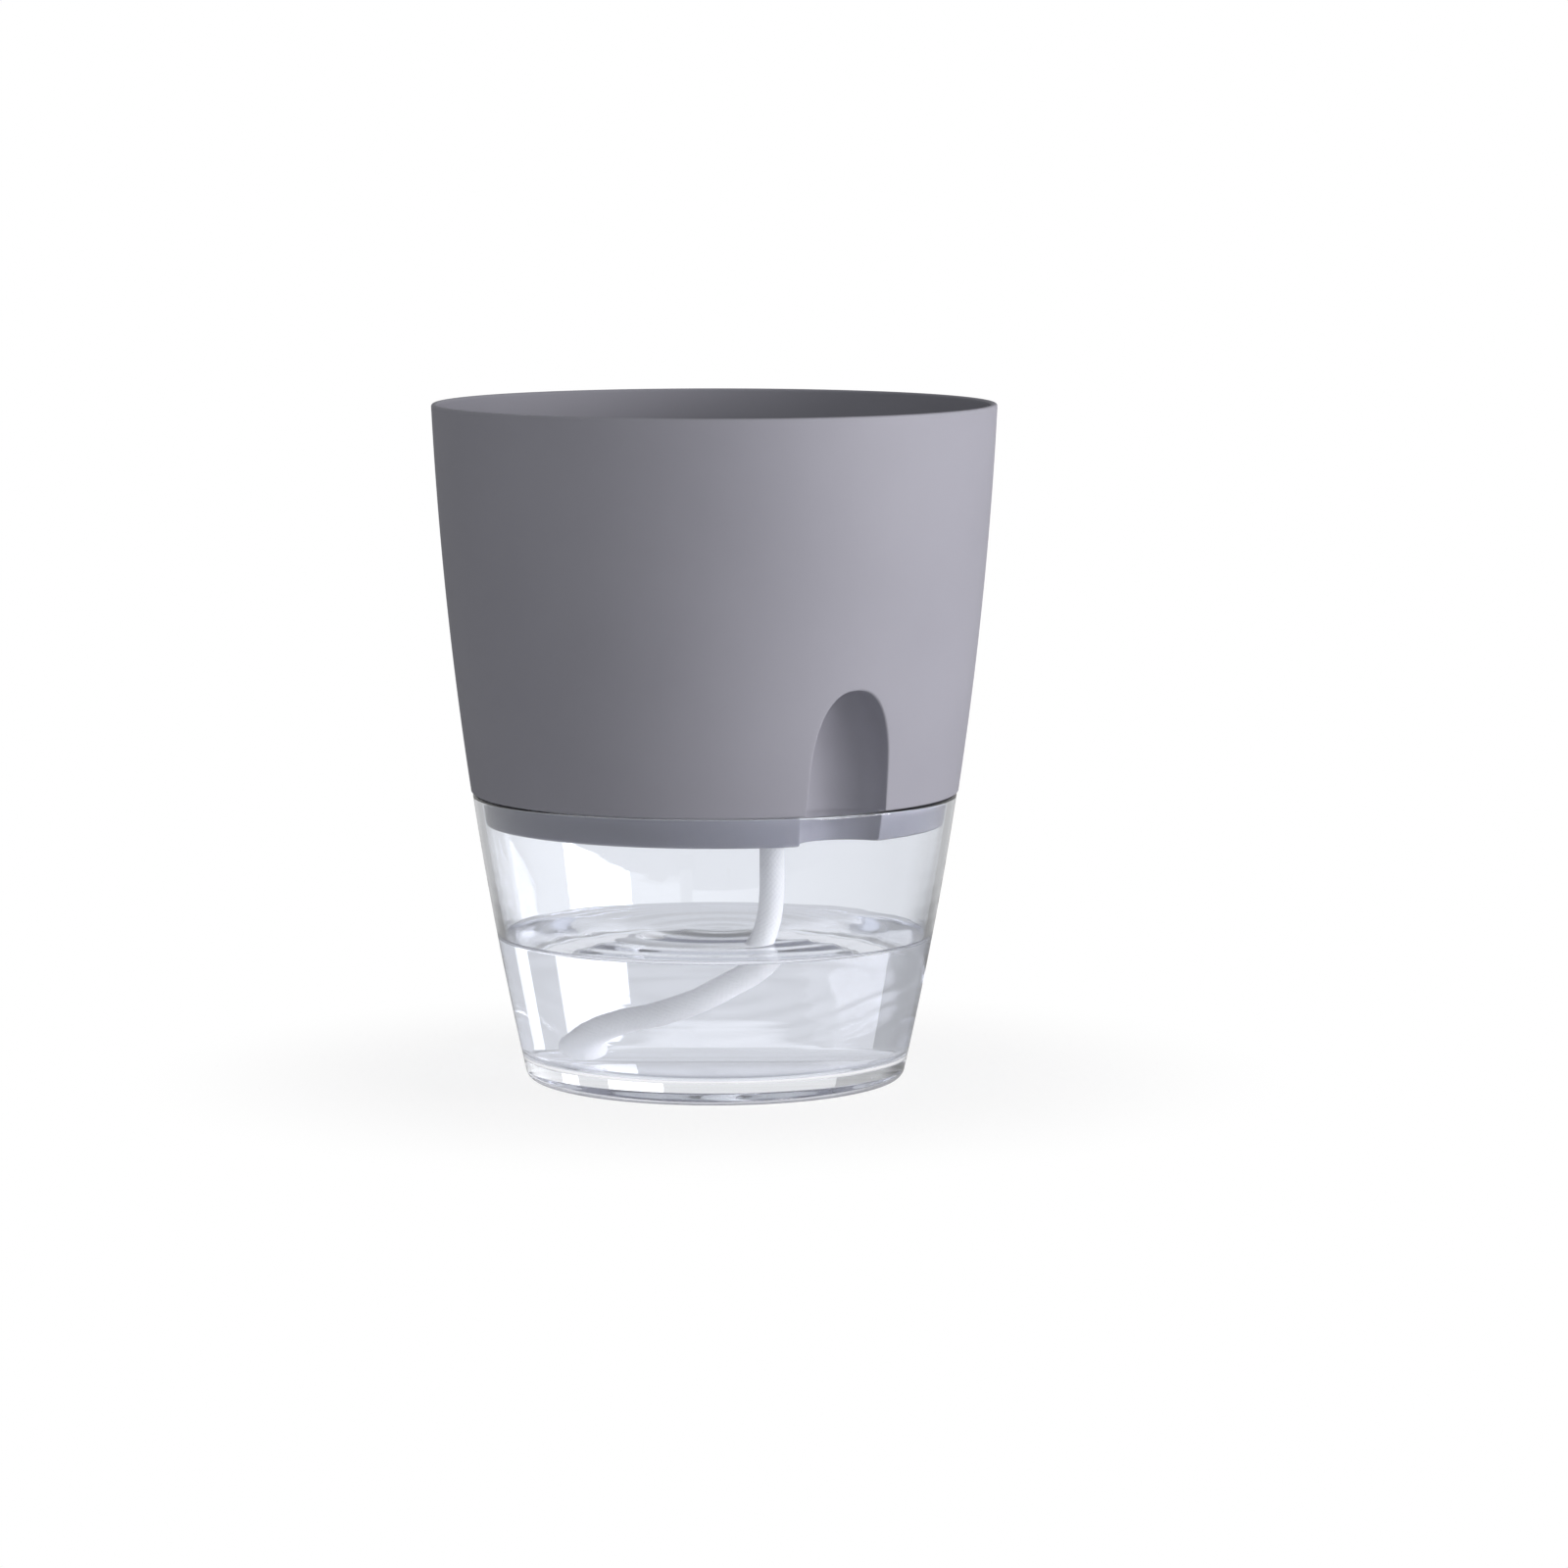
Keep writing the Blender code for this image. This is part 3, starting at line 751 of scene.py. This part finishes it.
def scoopMeets(r, width):
    # how far along the channel's level section, from the start of its round back, it is r from the axis
    if width < 1e-6:
        return scoopCentre - r
    rise = (width * width + scoopCentre**2 - r * r) / (2 * scoopCentre * width)
    return width * math.asin(rise) if rise >= 0 else scoopCentre - math.sqrt(r * r - width * width)


def scoopPoint(v, width, z):
    if v <= 0 or width < 1e-6:
        return np.array((width, v - scoopCentre, z))
    return np.array((width * math.cos(v / width), width * math.sin(v / width) - scoopCentre, z))


def ringPoint(r, turn, z):
    return np.array((r * math.sin(turn), -r * math.cos(turn), z))


def roundOver(start, corner, end, steps=6, weight=0.72):
    # an arc from start to end, pulled towards the corner
    arc = []
    for t in np.linspace(0, 1, steps + 1):
        a, b, c = (1 - t) ** 2, 2 * weight * t * (1 - t), t * t
        arc.append((a * start + b * corner + c * end) / (a + b + c))
    return arc


def profileNormals(points):
    # the normal of a profile at each point, towards a larger radius, mitred at corners
    normals = []
    for i, point in enumerate(points):
        found = []
        for a, b in ((i - 1, i), (i, i + 1)):
            if a >= 0 and b < len(points) and np.linalg.norm(points[b] - points[a]) > 1e-6:
                dr, dz = (points[b] - points[a]) / np.linalg.norm(points[b] - points[a])
                found.append(np.array((dz, -dr)))
        normals.append(sum(found) / (1 + found[0] @ found[-1]) if len(found) == 2 else found[0])
    return normals


def scoopedFace(profile, radiusAt, extra, rounds, levelsBehind):
    # half of one face of the planter with the scoop in it, from the floor to the frame's top:
    # profile holds (r, z, added half width) up to the straight wall, and radiusAt(z) gives the wall
    straight, arch = scoopShape["rows"]
    sideRows, steps = scoopShape["sideRows"], scoopShape["steps"]
    frameTurn, frameTop = math.radians(scoopShape["frameTurn"]), scoopShape["frameTop"]
    first = len(profile) - 1
    last = first + straight + arch
    archStart = shoulderLevel + scoopShape["straight"]
    rows = [tuple(row) for row in profile]
    rows += [(radiusAt(z), z, 0) for z in between(profile[-1][1], archStart, straight) + [archStart]]
    for i in range(1, arch + 1):
        rise = math.sin(math.pi / 2 * i / arch) ** (2 / scoopShape["fullness"])
        z = archStart + (scoopShape["arch"] + extra) * rise
        rows.append((radiusAt(z), z, 0))
    frameLevels = [row[1] for row in rows[: first + straight + 1]]
    frameLevels += between(archStart, frameTop, sideRows - straight) + [frameTop]
    normals = profileNormals([np.array(row[:2]) for row in rows])
    widths = [scoopHalfWidth(z, extra) + added for r, z, added in rows]
    outline = [np.array((r * math.asin(w / r), z)) for (r, z, added), w in zip(rows, widths)]

    edgeStrip, back, front = [], [], []
    for i, (r, z, added) in enumerate(rows):
        amount = rounds[0] + (rounds[1] - rounds[0]) * min(max((i - first) / straight, 0), 1)
        edge = scoopMeets(r, widths[i])
        corner = scoopPoint(edge, widths[i], z)
        outward = np.array((1.0, 0.0))
        if first < i < last:
            ahead = outline[i + 1] - outline[i - 1]
            outward = np.array((ahead[1], -ahead[0])) / np.linalg.norm(ahead)
        if i == last:
            outward = np.array((0.0, 1.0))
        startTurn = (outline[i][0] + amount * outward[0]) / r
        startLevel = z + amount * outward[1]
        start = ringPoint(r if i <= first else radiusAt(startLevel), startTurn, startLevel)
        # the scoop's own face, from its edge to the middle of its back
        endLevel = z - normals[i][1] * amount if i <= first else z
        behind = levelsBehind.get(i, endLevel)
        line = []
        for t in np.linspace(0, 1, scoopShape["backColumns"] + 1):
            level = endLevel + (behind - endLevel) * t
            width = scoopHalfWidth(level, extra) + added
            v = (edge + normals[i][0] * amount) * (1 - t) + width * math.pi / 2 * t
            line.append(scoopPoint(v, width, level))
        back.append(line)
        edgeStrip.append(roundOver(start, corner, line[0]))
        # the wall, from the scoop's edge to the frame
        goal = (frameTurn * (last - i) / (last - first - sideRows), frameTop)
        if i <= first + sideRows:
            goal = (frameTurn, frameLevels[i])
        line = []
        for t in (np.arange(steps + 1) / steps) ** 1.4:
            turn = startTurn + (goal[0] - startTurn) * t
            level = startLevel + (goal[1] - startLevel) * t
            line.append(ringPoint(r if i <= first else radiusAt(level), turn, level))
        front.append(line)

    turns = np.linspace(frameTurn, math.pi, planterShape["columns"] + 1)
    rest = []
    for i, level in enumerate(frameLevels):
        r = rows[i][0] if i <= first else radiusAt(level)
        rest.append([ringPoint(r, turn, level) for turn in turns])
    # the edge between the scoop's face and the floor
    floorEdge = [edgeStrip[0]]
    for end in back[0][1:]:
        heading = math.atan2(end[1] + scoopCentre, end[0])
        spoke = np.array((math.cos(heading), math.sin(heading), 0))
        corner = np.array((0, -scoopCentre, rows[0][1])) + spoke * widths[0]
        floorEdge.append(roundOver(corner + spoke * rounds[0], corner, end))
    floorLoop = [arc[0] for arc in reversed(floorEdge)] + front[0][1:] + rest[0][1:]
    return [edgeStrip, back, front, rest, floorEdge], floorLoop


def planterOutside():
    # under the skirt, up its side, out along the shoulder and round the shoulder's edge
    seat, step = potShape["reservoirHeight"], scoopShape["step"]
    corners = [(0, skirtBottom), (skirtOutside(skirtBottom), skirtBottom, planterShape["skirtRound"], 8)]
    corners += [(skirtOutside(z), z) for z in between(skirtBottom + 1, seat, 4)]
    profile = [(p[0], p[1], step) for p in roundedProfile(corners)[1:]]
    profile += [(skirtOutside(seat), seat, step), (skirtOutside(seat), seat, 0)]
    corners = [(skirtOutside(shoulderLevel), shoulderLevel)]
    corners += [(sideRadius(shoulderLevel), shoulderLevel, planterShape["shoulderRound"], 5)]
    corners += [(sideRadius(shoulderLevel + 2), shoulderLevel + 2)]
    ledge = roundedProfile(corners)[:-1]
    ledge[1:1] = [ledge[0].lerp(ledge[1], share) for share in (0.25, 0.5, 0.75)]
    levelsBehind = {len(profile) + i: shoulderLevel + 0.05 + 0.15 * i for i in range(len(ledge))}
    profile += [(p[0], p[1], 0) for p in ledge]
    return scoopedFace(profile, sideRadius, 0, scoopShape["edgeRounds"], levelsBehind)


def planterInside():
    wall, fillet = planterShape["wall"], planterShape["soilFillet"]
    stepTop = shoulderLevel + planterShape["shoulderRise"]
    corners = [(0, soilFloor), (skirtOutside(soilFloor) - wall, soilFloor, fillet, 7)]
    corners += [(skirtOutside(shoulderLevel) - wall, shoulderLevel, fillet, 5)]
    corners += [(sideRadius(stepTop) - wall, stepTop, fillet, 5)]
    corners += [(sideRadius(stepTop + 2.5) - wall, stepTop + 2.5)]
    profile = [(p[0], p[1], 0) for p in roundedProfile(corners)[1:]]
    return scoopedFace(
        profile, lambda z: sideRadius(z) - wall, scoopShape["soilWall"], scoopShape["soilRounds"], {}
    )


def planterRim():
    # rings of half the pot, from the frame's top outside, over the rim, to its top inside
    wall, low, rim = planterShape["wall"], scoopShape["frameTop"], planterShape["rimRound"]
    corners = [(sideRadius(z), z) for z in [low] + between(low, topLevel, 14)]
    corners += [(sideRadius(topLevel), topLevel, rim, 6), (sideRadius(topLevel) - wall, topLevel, rim, 6)]
    corners += [(sideRadius(z) - wall, z) for z in between(topLevel, low, 14) + [low]]
    topTurns = sum(scoopShape["rows"]) - scoopShape["sideRows"]
    frameTurn = math.radians(scoopShape["frameTurn"])
    turns = list(np.linspace(0, frameTurn, topTurns + 1))
    turns += list(np.linspace(frameTurn, math.pi, planterShape["columns"] + 1)[1:])
    return [[ringPoint(r, turn, z) for turn in turns] for r, z in roundedProfile(corners, support=0.4)]


def planterMesh():
    grids = [planterRim()]
    points, faces = [], []
    for faceGrids, floorLoop in (planterOutside(), planterInside()):
        grids += faceGrids
        mirrored = [p * (-1, 1, 1) for p in reversed(floorLoop[1:-1])]
        faces.append(range(len(points), len(points) + len(floorLoop) + len(mirrored)))
        points += floorLoop + mirrored
    for grid in grids:
        for side in (1, -1):
            start, columns = len(points), len(grid[0])
            points += [point * (side, 1, 1) for row in grid for point in row]
            for i in range(len(grid) - 1):
                for j in range(start + i * columns, start + (i + 1) * columns - 1):
                    faces.append((j, j + 1, j + 1 + columns, j + columns))
    mesh = bpy.data.meshes.new("planter_shell")
    mesh.from_pydata([tuple(metres(c) for c in p) for p in points], [], [tuple(face) for face in faces])
    return mesh


def makeSlotTree():
    # drain slots round the floor, as one cut, with none at the scoop
    tree, value = openTree("drainSlots", ["Radius", "Width", "Length", "Height", "Level"], ["Count"])
    places = addNode(tree, "GeometryNodeMeshCircle", {"Vertices": value["Count"], "Radius": value["Radius"]})
    place = addNode(tree, "GeometryNodeInputPosition")
    parts = addNode(tree, "ShaderNodeSeparateXYZ", [place])
    nearly = addNode(tree, "ShaderNodeMath", [value["Radius"], -0.99], operation="MULTIPLY")
    atScoop = addNode(tree, "ShaderNodeMath", [parts.outputs["Y"], nearly], operation="LESS_THAN")
    kept = addNode(tree, "GeometryNodeDeleteGeometry", {"Geometry": places, "Selection": atScoop})
    half = addNode(tree, "ShaderNodeMath", [value["Width"], 0.5], operation="MULTIPLY")
    corners = 24
    peg = addNode(
        tree, "GeometryNodeMeshCylinder", {"Vertices": corners, "Radius": half, "Depth": value["Height"]}
    )
    # turned by half a step, so that its two halves can be pulled apart along a straight side
    turned = addNode(
        tree, "GeometryNodeTransform",
        {"Geometry": peg.outputs["Mesh"], "Rotation": (0.0, 0.0, math.pi / corners)},
    )
    excess = addNode(tree, "ShaderNodeMath", [value["Length"], value["Width"]], operation="SUBTRACT")
    pull = addNode(tree, "ShaderNodeMath", [excess, 0.5], operation="MULTIPLY")
    side = addNode(tree, "ShaderNodeMath", [parts.outputs["Y"]], operation="SIGN")
    shift = addNode(tree, "ShaderNodeMath", [side, pull], operation="MULTIPLY")
    move = addNode(tree, "ShaderNodeCombineXYZ", {"Y": shift, "Z": value["Level"]})
    stretched = addNode(tree, "GeometryNodeSetPosition", {"Geometry": turned, "Offset": move})
    facing = addNode(tree, "FunctionNodeAlignRotationToVector", {"Vector": place}, axis="Y")
    slots = addNode(
        tree, "GeometryNodeInstanceOnPoints", {"Points": kept, "Instance": stretched, "Rotation": facing}
    )
    real = addNode(tree, "GeometryNodeRealizeInstances", {"Geometry": slots})
    cut = addNode(
        tree, "GeometryNodeMeshBoolean", {"Mesh 1": value["Geometry"], "Mesh 2": real}, solver="EXACT"
    )
    closeTree(tree, cut, value)
    return tree


def combine(piece, tool, operation, material):
    modifier = piece.modifiers.new(operation.lower(), "BOOLEAN")
    modifier.operation = operation
    modifier.solver = "EXACT"
    modifier.object = tool
    piece = applied(piece, material)
    bpy.data.objects.remove(tool)
    return piece


def upright(name, radius, low, high, rounding, material):
    # a round tool round the wick's place
    corners = [(0, low), (radius, low, rounding, 4), (radius, high), (0, high)]
    tool = turnedBody(name, roundedProfile(corners), material, steps=64)
    cleanMesh(tool)
    for vertex in tool.data.vertices:
        vertex.co.y += metres(wickShape["bossMiddle"][1])
    return tool


def makePlanter():
    shape = planterShape
    material = makeMattMaterial()
    planter = addObject("planter_shell", planterMesh())
    cleanMesh(planter)
    bossBottom, middle = skirtBottom - shape["bossDrop"], skirtBottom + shape["floor"] / 2
    boss = upright("boss", shape["bossRadius"], bossBottom, middle, shape["bossRound"], material)
    planter = combine(planter, boss, "UNION", material)
    start, end = bossBottom - 2, soilFloor + 2  # past the floor at both sides
    hole = upright("wick_hole", shape["holeRadius"], start, end, shape["holeRound"], material)
    planter = combine(planter, hole, "DIFFERENCE", material)
    sizes = {
        "Radius": metres(shape["slotRadius"]),
        "Width": metres(shape["slotWidth"]),
        "Length": metres(shape["slotLength"]),
        "Height": metres(shape["cutHeight"]),
        "Level": metres(middle),
    }
    planter = runTree(planter, makeSlotTree(), material, Count=shape["slotCount"], **sizes)
    cleanMesh(planter)
    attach(planter, "planter")
    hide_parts("planter")


makePlanter()
print("planter made")


# studio: a white room, darker to the left, with one low, wide softbox at the right
studio = {
    "keyTurn": 69.0,  # to the right of the camera, seen from the pot
    "keyRise": 2.0,
    "keyDistance": 1500.0,
    "keyLift": 100.0,
    "keyWidth": 1100.0,
    "keyHeight": 620.0,
    "keyPower": 25.0,
    "keyColour": "#FFFCFE",
    "floorSize": 6000.0,
    "floorTones": ("#E6E6E8", "#EAEAEC"),
    "whiteFloor": (25.0, 16.0),  # degrees to each side behind the pot, between which the floor turns white
    "mirroredFloor": 0.35,  # level of the floor in gloss
}
# the room's levels: the turn and rise of a direction, the levels away from it and towards it, and the
# cosines of the angle to it between which they blend
roomLevels = {
    "ambient": (40, 0, 0.25, 0.66, -1.0, 1.0),  # light on matt faces
    "mirrored": (180, 0, 0.12, 0.5, -0.3, 0.9),  # in gloss
    "sides": (65, 0, 0.16, 1.6, -1.0, 1.0),  # through clear plastic and water
    "lowDown": (0, 90, 1.0, 0.1, 0.2, 0.5),  # share of that which is left with height
    "behind": (180, 0, 0.0, 1.0, 0.3, 0.85),  # share of the wall behind the pot in that
    "wall": (0, 90, 0.84, 0.58, 0.15, 0.28),
}
# the floor's levels, away from the pot's axis: the two levels, and the radii between which they blend
floorLevels = {
    # added up, behind the pot and under it, through clear plastic and water, with painted shadow of the pot
    # painted contact shadow: the floor is dark where the foot's ring stands on it, lighter again outside it
    "foot": (0.7, 0.15, 39.0, 41.0),  # dark where the foot's ring stands on it
    "outside": (0.0, 0.63, 52.0, 55.0),
    # painted shadow of the pot: the floor is darker within about 210 mm of its axis
    "near": (0.0, 0.2, 210.0, 340.0),
    "far": (0.0, -0.2, 800.0, 1200.0),
    # added up, on the other sides, through clear plastic and water: a painted pool of light near the pot,
    # which lights the wick
    "paintedPoolOfLight": (1.05, 0.28, 60.0, 170.0),
    "apart": (0.0, 0.3, 210.0, 340.0),
    # to the lens, where the pot's soft shadow fades out
    "pale": (0.85, 1.0, 60.0, 170.0),
}
# cards that only clear plastic and water show, all standing on the floor
cards = {
    "white_card": {"turn": 162.0, "width": 590.0, "strength": 1.5},
    "narrow_card": {"turn": 140.5, "width": 330.0, "strength": 1.7},
    "grey_card": {"turn": 220.7, "width": 950.0, "strength": 0.5},
}
cardDistance, cardHeight = 2400.0, 600.0


def studioDirection(turn, rise=0.0):
    # from the pot, turned to the camera's right and raised
    heading = math.radians(cameraView["azimuth"] + turn)
    lift = math.radians(rise)
    return Vector((math.sin(heading) * math.cos(lift), -math.cos(heading) * math.cos(lift), math.sin(lift)))


def makeKey():
    data = bpy.data.lights.new("key_softbox", "AREA")
    data.shape = "RECTANGLE"
    data.size = metres(studio["keyWidth"])
    data.size_y = metres(studio["keyHeight"])
    data.energy = studio["keyPower"]
    data.color = linearColour(studio["keyColour"])[:3]
    key = addObject("key_softbox", data)
    toKey = studioDirection(studio["keyTurn"], studio["keyRise"])
    key.location = toKey * metres(studio["keyDistance"]) + Vector((0, 0, metres(studio["keyLift"])))
    key.rotation_euler = (-toKey).to_track_quat("-Z", "Y").to_euler()


def makeSheet(name, corners, material):
    # a flat sheet of the studio, which isn't part of the pot
    mesh = bpy.data.meshes.new(name)
    mesh.from_pydata([tuple(corner) for corner in corners], [], [(0, 1, 2, 3)])
    mesh.materials.append(material)
    sheet = addObject(name, mesh)
    return sheet


def makeCard(name, card):
    material, tree, place = newMaterial(name)
    uneven = addNode(tree, "ShaderNodeTexNoise", {"Vector": place, "Scale": 2.0})
    weakest, strongest = 0.9 * card["strength"], 1.1 * card["strength"]
    strength = addNode(
        tree, "ShaderNodeMapRange", {"Value": uneven.outputs["Fac"], "To Min": weakest, "To Max": strongest}
    )
    glow = addNode(tree, "ShaderNodeEmission", {"Color": (1, 1, 1, 1), "Strength": strength})
    addNode(tree, "ShaderNodeOutputMaterial", {"Surface": glow})
    middle = studioDirection(card["turn"]) * metres(cardDistance)
    across = studioDirection(card["turn"] + 90) * metres(card["width"]) / 2
    up = Vector((0, 0, metres(cardHeight)))
    corners = [middle - across, middle + across, middle + across + up, middle - across + up]
    sheet = makeSheet(name, corners, material)
    sheet.visible_camera = sheet.visible_diffuse = sheet.visible_glossy = sheet.visible_shadow = False


def rayKinds(tree):
    # whether a ray comes from the lens, from a glossy face, or through clear plastic or water; light that
    # is bent by a clear face counts as both of the last two
    rays = addNode(tree, "ShaderNodeLightPath").outputs
    return [rays[f"Is {kind} Ray"] for kind in ("Camera", "Glossy", "Transmission")]


def makeWorld():
    world = bpy.data.worlds.new("studio")
    scene.world = world
    world.use_nodes = True
    tree = world.node_tree
    tree.nodes.clear()
    fromLens, fromGloss, fromInside = rayKinds(tree)
    direction = addNode(tree, "ShaderNodeTexCoord").outputs["Generated"]
    levels = {}
    for name, (turn, rise, low, high, start, end) in roomLevels.items():
        near = addNode(
            tree, "ShaderNodeVectorMath", [direction, studioDirection(turn, rise)], operation="DOT_PRODUCT"
        )
        levels[name] = addNode(
            tree, "ShaderNodeMapRange",
            {
                "Value": near.outputs["Value"], "From Min": start, "From Max": end,
                "To Min": low, "To Max": high,
            },
            interpolation_type="SMOOTHSTEP",
        )
    sides = addNode(tree, "ShaderNodeMath", [levels["sides"], levels["lowDown"]], operation="MULTIPLY")
    through = addNode(tree, "ShaderNodeMix", {0: levels["behind"], 2: sides, 3: levels["wall"]})
    seen = addNode(tree, "ShaderNodeMix", {0: fromGloss, 2: levels["ambient"], 3: levels["mirrored"]})
    seen = addNode(tree, "ShaderNodeMix", {0: fromInside, 2: seen, 3: through})
    seen = addNode(tree, "ShaderNodeMix", {0: fromLens, 2: seen, 3: 1.0})
    background = addNode(tree, "ShaderNodeBackground", {"Color": (1, 1, 1, 1), "Strength": seen})
    addNode(tree, "ShaderNodeOutputWorld", {"Surface": background})


def makeFloor():
    # white laminate with faint flecks; to the lens it is white but for the pot's soft shadow; through clear
    # plastic and water it glows, with painted shadow and a painted pool of light
    material, tree, place = newMaterial("white_laminate_floor")
    fromLens, fromGloss, fromInside = rayKinds(tree)
    fleck = addNode(tree, "ShaderNodeTexNoise", {"Vector": place, "Scale": 9.0, "Detail": 4.0})
    tone = addNode(tree, "ShaderNodeValToRGB", {"Fac": fleck.outputs["Fac"]})
    for element, colour in zip(tone.color_ramp.elements, studio["floorTones"]):
        element.color = linearColour(colour)
    matt = addNode(tree, "ShaderNodeBsdfDiffuse", {"Color": tone.outputs["Color"]})
    away = addNode(tree, "ShaderNodeVectorMath", [place], operation="LENGTH").outputs["Value"]
    levels = {}
    for name, (low, high, start, end) in floorLevels.items():
        levels[name] = addNode(
            tree, "ShaderNodeMapRange",
            {
                "Value": away, "From Min": metres(start), "From Max": metres(end),
                "To Min": low, "To Max": high,
            },
            interpolation_type="SMOOTHSTEP",
        )
    sums = []
    for first, *others in (("foot", "outside", "near", "far"), ("paintedPoolOfLight", "apart")):
        total = levels[first]
        for name in others:
            total = addNode(tree, "ShaderNodeMath", [total, levels[name]], operation="ADD")
        sums.append(total)
    heading = addNode(tree, "ShaderNodeVectorMath", [place], operation="NORMALIZE")
    behind = addNode(tree, "ShaderNodeVectorMath", [heading, studioDirection(180)], operation="DOT_PRODUCT")
    edges = [math.cos(math.radians(turn)) for turn in studio["whiteFloor"]]
    white = addNode(
        tree, "ShaderNodeMapRange",
        {"Value": behind.outputs["Value"], "From Min": edges[0], "From Max": edges[1]},
        interpolation_type="SMOOTHSTEP",
    )
    through = addNode(tree, "ShaderNodeMix", {0: white, 2: sums[1], 3: sums[0]})
    strength = addNode(tree, "ShaderNodeMix", {0: fromInside, 2: studio["mirroredFloor"], 3: through})
    strength = addNode(tree, "ShaderNodeMix", {0: fromLens, 2: strength, 3: 1.0})
    glow = addNode(tree, "ShaderNodeEmission", {"Color": (1, 1, 1, 1), "Strength": strength})
    # matt faces get the light of the laminate, and all others see the glow
    clearOrGloss = addNode(tree, "ShaderNodeMath", [fromInside, fromGloss], operation="MAXIMUM")
    share = addNode(tree, "ShaderNodeMix", {0: fromLens, 2: clearOrGloss, 3: levels["pale"]})
    mixed = addNode(tree, "ShaderNodeMixShader", [share, matt, glow])
    addNode(tree, "ShaderNodeOutputMaterial", {"Surface": mixed})
    half = metres(studio["floorSize"]) / 2
    makeSheet("floor", [(-half, -half, 0), (half, -half, 0), (half, half, 0), (-half, half, 0)], material)


makeKey()
for name, card in cards.items():
    makeCard(name, card)
makeWorld()
makeFloor()
scene.view_settings.view_transform = "Standard"
# light is bent and reflected many times in the clear cup and the water, and nothing blurs what they show
scene.cycles.max_bounces = 32
scene.cycles.glossy_bounces = 16
scene.cycles.transmission_bounces = 32
scene.cycles.blur_glossy = 0
print("studio made")
